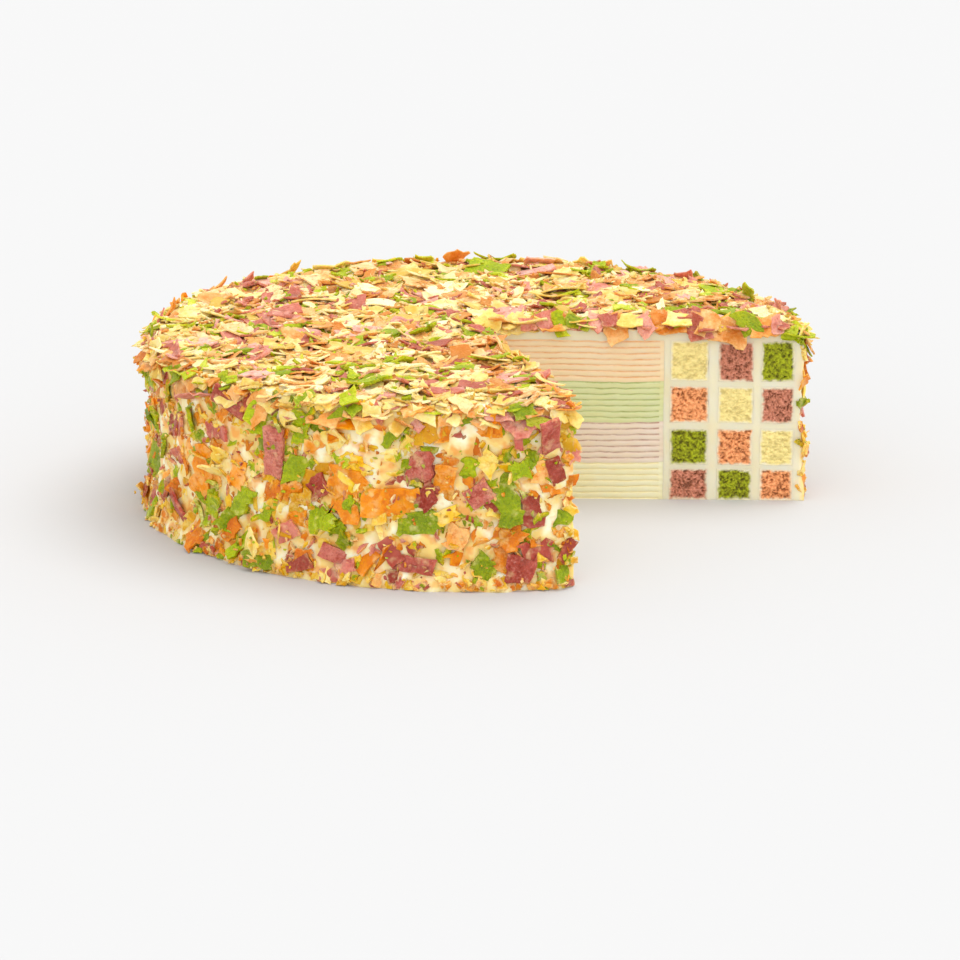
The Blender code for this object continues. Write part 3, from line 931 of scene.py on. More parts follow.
# A flake that stands out is called a hero. These are listed as colour, place, length, width and turn in
# millimetres and degrees, and 1 where it is rough. A place on the side is an azimuth and a height, and a
# place on the top is x and y.
SIDE_HEROES = (
    ("green", 233, 49, 11, 11, 0, 1), ("mauve", 235, 40, 18, 7, 82, 1), ("green", 240, 49, 13, 6, 80, 0),
    ("mauve", 209, 12, 19, 5, -38, 1), ("mauve", 222, 42, 14, 5, 5, 0), ("mauve", 210, 40, 8, 5, 60, 0),
    ("mauve", 209, 29, 6, 6, 20, 0), ("orange", 217, 27, 19, 8.5, 75, 0), ("yellow", 223, 35, 10, 6, 70, 0),
    ("green", 228, 22, 13, 7, 60, 0), ("orange", 235, 27, 10, 8, 10, 0), ("mauve", 243, 30, 8, 7, 30, 0),
    ("green", 244, 20, 12, 9.5, 10, 1), ("mauve", 237, 14, 9, 6, 30, 0), ("mauve", 225, 53, 14, 6, -20, 0),
    ("orange", 248, 30, 19, 13, 80, 0), ("orange", 256, 28, 19, 9.5, 5, 0),
    ("mauve", 261, 40, 11, 9.5, 20, 1),
    ("mauve", 262, 30, 9, 7, 50, 1), ("orange", 265, 35, 12, 7, 80, 0), ("green", 269, 39, 8, 5, 80, 0),
    ("green", 275, 29, 19, 10, -72, 1), ("mauve", 279, 26, 11, 9, 85, 0), ("mauve", 271, 31, 9, 7, 40, 1),
    ("green", 261, 21, 15, 8, 10, 1), ("mauve", 260, 8, 13, 5, -5, 0), ("mauve", 256, 12, 9, 5, -60, 0),
    ("mauve", 280, 12, 12, 9, 5, 0), ("mauve", 285, 12, 9, 4, 55, 0), ("orange", 267, 17, 10, 7, 70, 0),
    ("orange", 276, 16, 10, 7, 60, 0), ("green", 271, 7, 12, 7, 70, 1), ("mauve", 277, 7, 9, 9, 0, 1),
    ("green", 284, 5, 6, 5, 0, 1), ("green", 285, 23, 7, 5, 10, 1), ("yellow", 285, 47, 18, 5, 85, 0),
    ("mauve", 282, 51, 17, 6, -75, 0), ("mauve", 277, 52, 16, 3.5, 85, 0), ("orange", 272, 52, 9, 8, 10, 0),
    ("yellow", 265, 24, 9, 5, 20, 0), ("yellow", 250, 37, 12, 9, 60, 0), ("yellow", 263, 52, 12, 7, 20, 0),
    ("orange", 240, 6, 9, 5, 60, 0), ("green", 219, 18, 8, 5, 70, 0), ("orange", 225, 11, 9, 5, 60, 0),
    ("yellow", 233, 5, 9, 6, 30, 0), ("green", 198, 36, 8, 5, 70, 1), ("orange", 193, 26, 9, 5, 80, 0),
    ("mauve", 248, 5, 9, 5, 20, 0), ("orange", 252, 8, 9, 6, 70, 0), ("green", 277, 39, 7, 6, 0, 0),
    ("yellow", 272, 42, 9, 6, 70, 0), ("orange", 281, 37, 10, 6, 80, 0), ("mauve", 283, 38, 9, 5, -70, 0),
    ("green", 197, 36, 7, 6, 80, 0), ("green", 214, 43, 8, 6, 70, 1), ("mauve", 208, 39, 9, 6, 80, 1),
    ("green", 220, 17, 9, 6, 60, 0), ("green", 224, 14, 10, 5, 50, 0), ("mauve", 194, 18, 9, 5, 10, 0),
    ("green", 195, 2, 9, 5, 60, 1), ("green", 239, 35, 11, 7, 70, 0), ("green", 233, 19, 6, 4, 60, 0),
    ("green", 232, 4, 12, 6, 0, 0), ("orange", 216, 5, 10, 7, 60, 0), ("mauve", 219, 2, 8, 4, 0, 0),
    ("green", 227, 6, 10, 4, 50, 0), ("yellow", 231, 8, 13, 7, 60, 0), ("mauve", 240, 5, 9, 5, 20, 0),
    ("mauve", 246, 9, 9, 5, -20, 0), ("green", 247, 18, 7, 4, 20, 1), ("green", 248, 14, 6, 4, 60, 1),
    ("green", 203, 29, 7, 5, 80, 1), ("orange", 189, 25, 8, 5, 80, 0), ("mauve", 204, 15, 8, 4, -60, 1),
    ("orange", 227, 31, 12, 7, 80, 0), ("yellow", 240, 25, 10, 8, 20, 0), ("orange", 238, 28, 8, 7, 0, 0),
    ("green", 249, 26, 6, 4, 60, 1), ("green", 256, 48, 8, 4, 40, 0), ("yellow", 246, 46, 10, 8, 30, 0),
)
TOP_HEROES = (
    ("yellow", -56, -45, 14, 9, 20, 0), ("yellow", -56, 34, 15, 8, 0, 0), ("yellow", 1, 26, 15, 10, 10, 0),
    ("mauve", -41, 29, 9, 8, 20, 0), ("mauve", -73, 1, 12, 6, -10, 0), ("mauve", -35, -8, 14, 5, 0, 0),
    ("mauve", 21, 84, 14, 6, 10, 0), ("mauve", 22, 25, 8, 6, 30, 0), ("green", 25, 25, 10, 7, 80, 0),
    ("orange", -91, 34, 10, 7, 30, 0), ("orange", -9, 88, 9, 8, 0, 0), ("green", 2, 95, 12, 6, 0, 1),
    ("green", -5, 1, 10, 4, -60, 1), ("yellow", -26, -45, 15, 6, 10, 0), ("yellow", 7, -56, 15, 9, 0, 0),
    ("yellow", -2, -85, 14, 8, 20, 0), ("mauve", -70, -75, 12, 5, -30, 0), ("mauve", 12, -69, 11, 6, 10, 0),
    ("green", 31, 47, 11, 6, 0, 0), ("yellow", 43, 49, 12, 8, 0, 0), ("orange", 62, 36, 13, 8, 10, 0),
    ("mauve", 73, 12, 12, 6, 40, 0), ("green", 90, 9, 9, 7, 60, 0), ("orange", 85, 6, 13, 8, 20, 0),
    ("mauve", 50, 5, 9, 7, 0, 0), ("yellow", -33, 31, 12, 8, 0, 0), ("green", -77, -45, 10, 7, 10, 1),
    ("yellow", 22, -93, 9, 6, 60, 0), ("mauve", -90, -30, 10, 6, 60, 0), ("orange", -20, 60, 13, 7, 0, 0),
    ("mauve", -10, -95, 14, 7, 0, 0), ("mauve", -20, -89, 10, 5, 30, 0), ("mauve", -1, -90, 9, 5, -20, 0),
    ("green", -34, -86, 12, 8, 10, 0), ("green", -42, -59, 9, 6, 30, 0), ("green", 5, -55, 12, 7, 0, 0),
    ("green", 17, -78, 10, 7, 20, 0), ("green", -4, -67, 9, 5, 0, 0), ("mauve", -57, -15, 12, 7, 10, 0),
    ("orange", -77, -15, 12, 8, 30, 0), ("green", 1, -15, 10, 7, 0, 0),
)


HERO_GROWTH = 1.05  # how much larger the heroes are built than they were measured
HERO_DEPTH = 1.7 * MM  # how much deeper than other flakes a hero may lie on the rest
HERO_SPARE = 1.5 * MM  # how far a hero may pass the rounded outline
LOWEST = -1.0 * MM  # how low a flake may reach before it is lifted as a whole
EVEN_STEPS = np.array([0.7548776662, 0.5698402910])  # two irrational shares, which leave no rows


def spread_spots(count, low, high, phase):
    """Spots that fill a rectangle evenly."""
    steps = np.arange(count)[:, None] * EVEN_STEPS + phase
    return np.array(low) + (steps % 1.0) * (np.array(high) - np.array(low))


class Layer:
    """One surface that is being strewn, with all that a flake needs to be put on it."""

    def __init__(self, bed, to_cake, shares, wet, deepest, heaps, blanks, sizes, draw):
        self.bed, self.to_cake, self.shares, self.wet, self.deepest = bed, to_cake, shares, wet, deepest
        self.heaps, self.blanks, self.sizes, self.draw = heaps, blanks, sizes, draw

    def blank(self, length):
        """The blank that a flake of this length is made from."""
        return self.blanks["large" if length > LARGE else "medium" if length > MEDIUM else "small"]

    def put(self, colour, spot, length, width, turn, rough, upright, hero=False):
        """Lays one flake, unless it lies mostly in the cut, or would stand too far out and is no hero."""
        draw, sizes = self.draw, self.sizes
        grain = float(np.clip(GRAIN[colour] + (0.5 if rough else draw.normal(0, 0.2)), 0, 1))
        thickness = sizes.flake_thickness * (0.8 + 1.2 * grain * draw.uniform(0.4, 1.0))
        thickness *= 1 + 0.4 * self.wet
        blank, faces = self.blank(length)
        curl = length * draw.uniform(-0.1, 0.2) * (1.0 if self.wet < 0.5 else 0.5)
        square = draw.random() < SQUARE[colour]
        least = 0.85 if square else 0.65 if hero else 0.45
        shape, rim = broken(blank, length, width, thickness, curl, 0.05 if square else 0.13,
                            0.35 * MM * grain, least, draw)
        unrest = 15 if hero else 24 if self.wet else 17
        lean = math.radians(draw.uniform(35, 75) if upright else abs(draw.normal(0, unrest)))
        sink = (0.2 if self.wet else 0.15) * MM
        clear = 0.55 if self.wet and not hero else 0.75
        flat = laid(self.bed, shape, spot, turn, lean, sink, clear, draw)
        deepest = self.deepest if not hero else min(self.deepest + HERO_DEPTH, sizes.most_proud)
        for _ in range(3):
            if flat[:, 2].max() <= deepest:
                break
            lean, sink = 0.4 * lean, sink + 0.4 * MM
            flat = laid(self.bed, shape, spot, turn, lean, sink, clear, draw)
        else:
            if not hero:
                return
        points = self.to_cake(flat)
        points[:, 2] += max(0.0, LOWEST - points[:, 2].min())
        shift = out_of_cut(points, draw.uniform(0.0, 3.4 if self.wet else 2.0) * MM)
        if np.linalg.norm(shift) > 0.7 * length:
            return
        self.bed.pile(flat[:, :2], flat[:, 2])
        self.bed.pile(flat[:, :2] * 0.5 + spot * 0.5, flat[:, 2])
        damp = self.wet * draw.uniform(0.7, 1.0)
        veil = rim * (draw.uniform(0.1, 0.5) if hero else draw.uniform(0.35, 1.0))
        veil *= 1.0 if self.wet else 0.6
        points = kept_in(points + shift, sizes, HERO_SPARE if hero else spare(draw))
        self.heaps[colour].add(points, faces, veil, draw.normal(0, 0.8), damp, grain)

    def put_heroes(self, heroes, to_spot):
        for colour, first, second, length, width, turn, rough in heroes:
            self.put(FLAKES.index(colour), to_spot(first, second), HERO_GROWTH * length * MM,
                     HERO_GROWTH * width * MM, math.radians(turn), rough, False, hero=True)

    def tints(self, spots):
        """A colour for each spot. Flakes of one colour lie in loose groups."""
        places = np.column_stack((spots, np.zeros(len(spots))))
        seeds = range(50, 50 + len(FLAKES))
        pull = np.column_stack([lattice_noise(places, 14 * MM, seed) for seed in seeds])
        odds = np.cumsum(np.array(self.shares) * np.exp(pull), axis=1)
        return (self.draw.random((len(spots), 1)) > odds / odds[:, -1:]).sum(axis=1)

    def strew(self, spots, longest, shortest, falls, hero=False):
        """One flake on each spot, from the longest to the shortest."""
        for index, (spot, colour) in enumerate(zip(spots, self.tints(spots))):
            draw = self.draw
            usual = (longest - shortest) * (1 - index / len(spots)) ** falls + shortest
            length = usual * draw.uniform(0.8, 1.2)
            strip = draw.random() < STRIP[colour]
            width = length * (draw.uniform(0.22, 0.36) if strip else draw.uniform(0.45, 0.85))
            self.put(colour, spot, length, width, draw.uniform(0, math.tau), False,
                     not hero and draw.random() < (0.08 if self.wet else 0.12), hero)

    def strew_slivers(self, spots, shortest, longest):
        """Thin splinters that lie at every angle in the gaps."""
        for spot, colour in zip(spots, self.tints(spots)):
            draw = self.draw
            length = draw.uniform(shortest, longest)
            self.put(colour, spot, length, draw.uniform(0.5, 1.3) * MM, draw.uniform(0, math.tau), False,
                     draw.random() < 0.3)

    def strew_crumbs(self, spots):
        """Crumbs in loose heaps: a spot that falls between the heaps gets none."""
        points_of_blank, faces = self.blanks["crumb"]
        draw = self.draw
        places = np.column_stack((spots, np.zeros(len(spots))))
        kept = lattice_noise(places, 9 * MM, 61) + draw.uniform(-0.5, 0.5, len(spots)) > 0
        for spot, colour in zip(spots[kept], self.tints(spots)[kept]):
            shape = lumped(points_of_blank, draw.uniform(0.4, 1.5) * MM, draw)
            level = self.bed.heights(spot[None, :])[0]
            points = self.to_cake(shape + np.array([spot[0], spot[1], level + 0.1 * MM]))
            points = kept_in(points + out_of_cut(points, 0.2 * MM), self.sizes, 0.0)
            veil = np.full(len(points), draw.uniform(0.0, 0.5))
            self.heaps[colour].add(
                points, faces, veil, draw.normal(0, 1.0), self.wet * draw.uniform(0.5, 1.0), 0.6)


MOST_SPARE = 4.0  # how many millimetres further than most the boldest flakes may stand up


def spare(draw):
    """How much further than most this flake may stand up. Few may by much."""
    return draw.random() ** 5 * MOST_SPARE * MM


# How the flakes round off the rim: how far inside it they start to fall, and by how much they have fallen
# after this reach. On the flat of the top most stand this far above the cream.
ROUND_INSIDE = 13 * MM
ROUND_FALL = 8.0 * MM
ROUND_REACH = 17 * MM
MOST_ABOVE = 4.6 * MM
FOOT_GAP = 0.25 * MM  # how far above the cake's underside every flake stays


def kept_in(points, sizes, extra):
    """The flake lowered to the rounded outline, or extra above it, and drawn back to its widest reach."""
    radii = radii_of(points)
    past = np.maximum(radii - (COAT_RADIUS - ROUND_INSIDE), 0) / ROUND_REACH
    highest = COAT_HEIGHT + MOST_ABOVE + extra - ROUND_FALL * past ** 2
    points[:, 2] -= 0.8 * max(0.0, (points[:, 2] - highest).max())
    points[:, 2] = np.clip(points[:, 2], FOOT_GAP, np.minimum(highest, COAT_HEIGHT + sizes.most_proud))
    widest = COAT_RADIUS + sizes.most_proud
    points[:, :2] *= np.minimum(1.0, widest / np.maximum(radii, MM))[:, None]
    return points


# Flakes that stand or hang over the first face of the cut, in millimetres and degrees: colour, distance
# from the axis, height above the cream, length, width, how far it is tipped outwards, and its turn
HUNG = (
    ("yellow", 5, 4, 10, 9, 50, 20), ("yellow", 11, 3, 14, 9, 35, -10), ("mauve", 18, 1, 7, 5, 40, 0),
    ("mauve", 23, 3, 9, 6, 60, 70), ("green", 28, 3, 11, 5, 62, 75), ("orange", 25, 1, 10, 7, 30, 0),
    ("green", 34, 2, 9, 7, 45, 20), ("mauve", 40, 2, 10, 8, 45, 20), ("orange", 47, 1, 11, 9, 60, 70),
    ("yellow", 52, 3, 10, 7, 30, 0), ("mauve", 57, 4, 11, 7, 62, 55), ("orange", 64, 3, 13, 10, 45, 5),
    ("yellow", 68, 3, 10, 7, 30, 10), ("mauve", 74, 4, 12, 9, 65, 60), ("orange", 83, 4, 18, 11, 52, 20),
    ("green", 91, 4, 11, 8, 62, 55), ("orange", 97, 2, 13, 9, 45, -10), ("mauve", 101, 3, 8, 5, 60, 80),
    ("green", 105, -1, 7, 5, 55, 0), ("mauve", 45, 3, 8, 6, 40, 0), ("orange", 78, 1, 8, 5, 50, 0),
)
# Flakes that stand up near the rim, in millimetres and degrees: colour, azimuth, distance inside the rim,
# height above the cream, length, width, how far it is tipped outwards, and its turn
RIM_HEROES = (
    ("green", 186, 1, 0, 13, 5, 85, 80), ("orange", 94, 7, 3, 8, 7, 60, 40),
    ("green", 100, 4, 1, 8, 6, 40, 10), ("green", 86, 5, 1, 15, 6, 25, 5),
    ("mauve", 77, 9, 2, 13, 7, 35, 0), ("mauve", 66, 4, 1, 9, 5, 40, 20),
    ("green", 56, 6, 1, 14, 5, 30, 0), ("mauve", 46, 5, 1, 11, 5, 40, 15),
    ("green", 25, 6, 3, 9, 7, 65, 50), ("mauve", 10, 5, 2, 8, 5, 65, 75),
    ("yellow", 120, 6, 1, 12, 7, 30, 0), ("orange", 150, 4, 1, 12, 8, 45, 40),
    ("green", 137, 5, 1, 9, 6, 35, 0), ("green", 108, 8, 2, 12, 5, 30, 10),
    ("mauve", 142, 7, 2, 9, 5, 50, 60), ("orange", 168, 3, 0, 10, 7, 60, 50),
    ("mauve", 175, 2, 0, 10, 6, 60, 30), ("yellow", 196, 1, 0, 12, 7, 70, 20),
    ("orange", 192, 0, -3, 13, 7, 88, 70), ("mauve", 203, 3, 1, 11, 6, 60, 30),
    ("orange", 36, 6, 1, 11, 7, 45, 20),
)


# How ragged, how rough and how even at its corners a hanging flake is
HUNG_RAGGED, HUNG_ROUGH, HUNG_CORNERS = 0.1, 0.2 * MM, 0.65
HUNG_TOP = 0.85  # the share of the most proud reach that it may stand up
HUNG_OUT = 5 * MM  # how far it may reach into the cut
HUNG_PAST = 0.9 * MM  # how far past the face of the cut those listed one by one have their middle


def hang(layer, colour, base, along, out, tip, turn, length, width, extra):
    """One flake over an edge that runs along here, tipped outwards and turned by these angles."""
    draw, sizes = layer.draw, layer.sizes
    blank, faces = layer.blank(length)
    shape, rim = broken(blank, length, width, sizes.flake_thickness, length * draw.uniform(0.0, 0.2),
                        HUNG_RAGGED, HUNG_ROUGH, HUNG_CORNERS, draw)
    normal = math.cos(tip) * np.array([0, 0, 1.0]) + math.sin(tip) * out
    down = np.cross(along, normal)
    first = math.cos(turn) * along + math.sin(turn) * down
    second = np.cross(normal, first)
    points = base + shape[:, :1] * first + shape[:, 1:2] * second + shape[:, 2:] * normal
    points[:, 2] -= max(0.0, points[:, 2].max() - COAT_HEIGHT - HUNG_TOP * sizes.most_proud)
    points = kept_in(points + out_of_cut(points, HUNG_OUT), sizes, extra)
    veil = draw.uniform(0.1, 0.6) * rim
    tone, wet = draw.normal(0, 0.8), draw.uniform(0.0, 0.6)
    layer.heaps[colour].add(points, faces, veil, tone, wet, GRAIN[colour])


def any_turn(draw):
    """A turn that lays a flake roughly along its edge, either end first."""
    return draw.uniform(-1.2, 1.2) + math.pi * draw.integers(2)


def hang_over_cut(layer, azimuth, out, colour, reach, past, up, length, width, tip, turn):
    """One flake over the top edge of a face of the cut, at this distance from the axis and past the face."""
    along = np.array([math.cos(azimuth), math.sin(azimuth), 0.0])
    base = along * reach + out * past + np.array([0, 0, COAT_HEIGHT + up])
    hang(layer, colour, base, along, out, tip, turn, length, width, HERO_SPARE)


def drape_cut(layer):
    """Flakes over the top edges of both faces of the cut."""
    draw = layer.draw
    for azimuth, out in ((CUT_START, START_OUT), (CUT_END, END_OUT)):
        reach = 3 * MM
        while reach < COAT_RADIUS - 2 * MM:
            length = draw.uniform(5, 12) * MM
            colour = draw.choice(len(FLAKES), p=TOP_SHARES)
            hang_over_cut(layer, azimuth, out, colour, reach, draw.uniform(-2.0, 0.2) * MM,
                          draw.uniform(0.4, 1.8) * MM, length, length * draw.uniform(0.5, 0.8),
                          math.radians(draw.uniform(-35, 50)), any_turn(draw))
            reach += draw.uniform(2.5, 6.0) * MM
    for colour, reach, up, length, width, tip, turn in HUNG:
        hang_over_cut(layer, CUT_START, START_OUT, FLAKES.index(colour), reach * MM, HUNG_PAST, up * MM,
                      length * MM, width * MM, math.radians(tip), math.radians(turn))


def rim_ways(azimuth):
    """Straight out of the cake's rim, and along it."""
    out = np.array([math.cos(azimuth), math.sin(azimuth), 0.0])
    return out, np.array([-out[1], out[0], 0.0])


RIM_SPARE = 3 * MM  # how far the rim's heroes may pass the rounded outline
RIM_DROP = 8  # how many millimetres below the top the lowest of the rim's other flakes hang


def drape_rim(layer):
    """Flakes round the cake's rim, tipped further the lower they hang, so that the rim looks rounded."""
    draw = layer.draw
    for colour, azimuth, inside, up, length, width, tip, turn in RIM_HEROES:
        out, along = rim_ways(math.radians(azimuth))
        base = out * (COAT_RADIUS - inside * MM) + np.array([0, 0, COAT_HEIGHT + up * MM])
        hang(layer, FLAKES.index(colour), base, along, out, math.radians(tip), math.radians(turn),
             length * MM, width * MM, RIM_SPARE)
    azimuth = CUT_START
    while azimuth < CUT_END:
        out, along = rim_ways(azimuth)
        length = draw.uniform(5, 12) * MM
        drop = draw.uniform(0, 1) ** 1.3 * RIM_DROP * MM
        base = out * (COAT_RADIUS - 1.5 * MM + 2.5 * MM * ramp(drop, 0.0, 4 * MM))
        base[2] = COAT_HEIGHT + 1.0 * MM - drop
        tip = math.radians(draw.uniform(-25, 45)) + ramp(drop, 0.0, 6 * MM) * math.radians(40)
        hang(layer, draw.choice(len(FLAKES), p=TOP_SHARES), base, along, out, tip, any_turn(draw), length,
             length * draw.uniform(0.4, 0.75), spare(draw))
        azimuth += draw.uniform(1.0, 3.0) * MM / COAT_RADIUS


def disc_spots(count, phase, reach):
    """Spots spread evenly over the cake's top, clear of the cut."""
    polar = spread_spots(count, (CUT_START, 0.0), (CUT_END, 1.0), phase)
    radii = reach * np.sqrt(polar[:, 1])
    return np.column_stack((radii * np.cos(polar[:, 0]), radii * np.sin(polar[:, 0])))


HEROES_FROM = math.radians(190)  # about where the side's listed heroes start
BACK_FLAKES = 110  # how many heroes are strewn on the side up to there
EDGE_FLAKES = 18  # how many small flakes break the line of each edge of the cut
UPPERMOST = 190  # how many heroes are strewn on the top


def build_flakes(sizes, colours):
    """Flakes and crumbs on the top and round the side, one piece for each colour.

    Each layer's spots start at a phase of their own, so that no two layers fall on the same places.
    """
    draw = np.random.default_rng(sizes.seed)
    heaps = [Flakes() for _ in FLAKES]
    blanks = {"large": blank_shard("large_blank", 7, 4), "medium": blank_shard("medium_blank", 5, 3),
              "small": blank_shard("small_blank", 3, 2), "crumb": blank_crumb()}
    reach = COAT_RADIUS + 1 * MM
    side_low = (CUT_START * COAT_RADIUS, 0.5 * MM)
    side_high = (CUT_END * COAT_RADIUS, COAT_HEIGHT)
    top = Layer(Bed((-reach, -reach), (reach, reach), on_top, 0.5, sizes),
                on_top, TOP_SHARES, 0.0, sizes.top_depth, heaps, blanks, sizes, draw)
    side = Layer(Bed((side_low[0], 0.0), side_high, on_side, 1.0, sizes),
                 on_side, SIDE_SHARES, 1.0, sizes.most_proud, heaps, blanks, sizes, draw)

    side.strew(spread_spots(sizes.side_flakes // 3, side_low, side_high, 0.11), 12 * MM, 6 * MM, 1.2)
    side.strew(spread_spots(sizes.side_flakes // 2, side_low, side_high, 0.31), 7.5 * MM, 3.5 * MM, 1.0)
    back_low = (side_low[0], 4 * MM)
    back_high = (HEROES_FROM * COAT_RADIUS, COAT_HEIGHT - 4 * MM)
    side.strew(spread_spots(BACK_FLAKES, back_low, back_high, 0.83), 17 * MM, 8 * MM, 1.0, hero=True)
    side.put_heroes(SIDE_HEROES, lambda turn, up: np.array([math.radians(turn) * COAT_RADIUS, up * MM]))
    foot = (side_high[0], 3 * MM)
    side.strew(spread_spots(sizes.side_flakes // 8, side_low, foot, 0.43), 5.5 * MM, 2.5 * MM, 1.0)
    for edge in (side_low[0], side_high[0]):
        low, high = (edge - 1.5 * MM, 1.5 * MM), (edge + 1.5 * MM, COAT_HEIGHT)
        side.strew(spread_spots(EDGE_FLAKES, low, high, 0.29), 7 * MM, 4 * MM, 1.0)
    side.strew_slivers(spread_spots(sizes.side_flakes // 4, side_low, side_high, 0.67), 2 * MM, 5 * MM)

    top.strew(disc_spots(sizes.top_flakes // 2, 0.37, COAT_RADIUS), 17 * MM, 9 * MM, 1.0)
    top.strew_slivers(disc_spots(sizes.top_flakes // 3, 0.19, COAT_RADIUS - 1 * MM), 3 * MM, 9 * MM)
    top.strew(disc_spots(sizes.top_flakes // 2, 0.77, COAT_RADIUS), 11 * MM, 5 * MM, 1.0)
    top.strew(disc_spots(UPPERMOST, 0.45, COAT_RADIUS - 2 * MM), 17 * MM, 7 * MM, 1.0, hero=True)
    top.put_heroes(TOP_HEROES, lambda x, y: np.array([x, y]) * MM)
    top.strew_slivers(disc_spots(sizes.top_flakes // 6, 0.59, COAT_RADIUS - 1 * MM), 2 * MM, 5 * MM)

    top.strew_crumbs(disc_spots(sizes.crumbs // 3, 0.71, COAT_RADIUS - 1 * MM))
    side.strew_crumbs(spread_spots(sizes.crumbs * 2 // 3, side_low, side_high, 0.53))
    drape_cut(top)
    drape_rim(top)

    cream = shifted(linear(colours.cream), (1.12, 1.02, 0.74))
    for heap, tint in zip(heaps, FLAKES):
        colour = linear(getattr(colours, f"flake_{tint}"))
        soaked = linear(getattr(colours, f"soaked_{tint}"))
        pale = linear(getattr(colours, f"pale_{tint}"))
        made = flake_material(f"flake_{tint}", colour, soaked, pale, cream, SHADES[tint])
        obj = heap.build(f"flakes_{tint}", made)
        finish(obj, 55.0)


# Stage

CAMERA_PLACE = (0.0013, -1.298, 0.354)
CAMERA_TARGET = (0.0013, 0.0, 0.0062)
CAMERA_LENS = 148.2
FLOOR_SIZE = 40.0
SKY_STRENGTH = 1.05
# Each sun's name, the place that it shines from towards the cake, its strength and its width in degrees
SUNS = (("key", (0.5, 0.1, 1.5), 1.65, 50), ("fill", (-0.1, -1.0, 0.22), 0.95, 60))


def aimed(obj, target):
    """Turns a camera or a sun to look at a point."""
    obj.rotation_euler = (Vector(target) - obj.location).to_track_quat("-Z", "Y").to_euler()


def add_sun(name, place, strength, width):
    deselect()
    bpy.ops.object.light_add(type="SUN", location=place)
    sun = bpy.context.object
    sun.name = name
    sun.data.energy = strength
    sun.data.angle = math.radians(width)
    aimed(sun, (0, 0, 0))


def build_stage():
    """A pale floor, soft light from above and a camera at the photograph's angle."""
    deselect()
    bpy.ops.mesh.primitive_plane_add(size=1.0, location=(0, 0, 0))
    floor = bpy.context.object
    floor.name = "floor"
    bpy.ops.object.mode_set(mode="EDIT")
    bpy.ops.mesh.select_all(action="SELECT")
    bpy.ops.transform.resize(value=(FLOOR_SIZE, FLOOR_SIZE, 1.0))
    bpy.ops.object.mode_set(mode="OBJECT")
    made = bpy.data.materials.new("floor")
    made.use_nodes = True
    shader = made.node_tree.nodes["Principled BSDF"]
    shader.inputs["Base Color"].default_value = (0.58, 0.58, 0.58, 1.0)
    shader.inputs["Roughness"].default_value = 0.9
    shader.inputs["Specular IOR Level"].default_value = 0.0
    floor.data.materials.append(made)

    world = bpy.data.worlds.new("studio")
    world.use_nodes = True
    sky = world.node_tree.nodes["Background"]
    sky.inputs["Color"].default_value = (1.0, 1.0, 1.0, 1.0)
    sky.inputs["Strength"].default_value = SKY_STRENGTH
    bpy.context.scene.world = world
    for sun in SUNS:
        add_sun(*sun)

    deselect()
    bpy.ops.object.camera_add(location=CAMERA_PLACE)
    camera = bpy.context.object
    camera.data.lens = CAMERA_LENS
    camera.data.sensor_width = 36.0
    aimed(camera, CAMERA_TARGET)
    bpy.context.scene.camera = camera
    bpy.context.scene.view_settings.view_transform = "Standard"


# Operators and panel

class CAKE_OT_crepes(bpy.types.Operator):
    """Build the crepes"""

    bl_idname = "cake.crepes"
    bl_label = "Crepes"

    def execute(self, context):
        build_crepes(context.scene.cake_sizes, context.scene.cake_colours)
        return {"FINISHED"}


class CAKE_OT_fillings(bpy.types.Operator):
    """Build the tinted fillings between the crepes"""

    bl_idname = "cake.fillings"
    bl_label = "Fillings"

    def execute(self, context):
        build_fillings(context.scene.cake_sizes, context.scene.cake_colours)
        return {"FINISHED"}


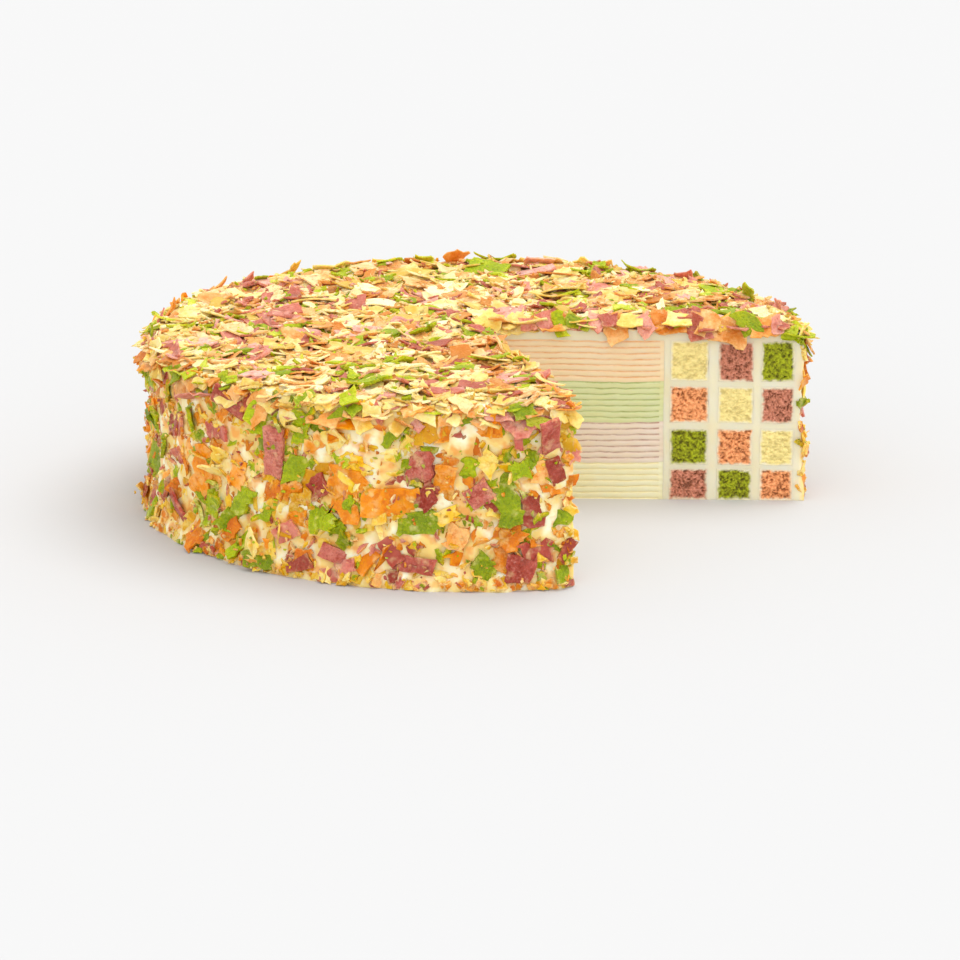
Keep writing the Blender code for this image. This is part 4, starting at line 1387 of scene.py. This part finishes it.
class CAKE_OT_sponges(bpy.types.Operator):
    """Build the sponge squares"""

    bl_idname = "cake.sponges"
    bl_label = "Sponge squares"

    def execute(self, context):
        build_sponges(context.scene.cake_sizes, context.scene.cake_colours)
        return {"FINISHED"}


class CAKE_OT_cream(bpy.types.Operator):
    """Build the cream coat with its walls and shelves"""

    bl_idname = "cake.cream"
    bl_label = "Cream"

    def execute(self, context):
        build_cream(context.scene.cake_sizes, context.scene.cake_colours)
        return {"FINISHED"}


class CAKE_OT_flakes(bpy.types.Operator):
    """Strew the flakes and crumbs"""

    bl_idname = "cake.flakes"
    bl_label = "Flakes"

    def execute(self, context):
        build_flakes(context.scene.cake_sizes, context.scene.cake_colours)
        return {"FINISHED"}


class CAKE_OT_stage(bpy.types.Operator):
    """Set up the floor, the light and the camera"""

    bl_idname = "cake.stage"
    bl_label = "Stage"

    def execute(self, context):
        build_stage()
        return {"FINISHED"}


class CAKE_PT_panel(bpy.types.Panel):
    """Lists the cake's values and the pieces that can be built"""

    bl_label = "Crepe cake"
    bl_idname = "CAKE_PT_panel"
    bl_space_type = "VIEW_3D"
    bl_region_type = "UI"
    bl_category = "Cake"

    def draw(self, context):
        for group in (context.scene.cake_sizes, context.scene.cake_colours):
            box = self.layout.box()
            for name in group.__annotations__:
                box.prop(group, name)
        for operator in OPERATORS:
            self.layout.operator(operator.bl_idname)


OPERATORS = (CAKE_OT_crepes, CAKE_OT_fillings, CAKE_OT_sponges, CAKE_OT_cream, CAKE_OT_flakes, CAKE_OT_stage)
CLASSES = (CakeSizes, CakeColours, *OPERATORS, CAKE_PT_panel)


def register():
    for cls in CLASSES:
        bpy.utils.register_class(cls)
    bpy.types.Scene.cake_sizes = bpy.props.PointerProperty(type=CakeSizes)
    bpy.types.Scene.cake_colours = bpy.props.PointerProperty(type=CakeColours)


def unregister():
    del bpy.types.Scene.cake_colours
    del bpy.types.Scene.cake_sizes
    for cls in reversed(CLASSES):
        bpy.utils.unregister_class(cls)


def main():
    register()
    bpy.ops.cake.crepes()
    bpy.ops.cake.fillings()
    bpy.ops.cake.sponges()
    bpy.ops.cake.cream()
    bpy.ops.cake.flakes()
    bpy.ops.cake.stage()


if __name__ == "__main__":
    main()
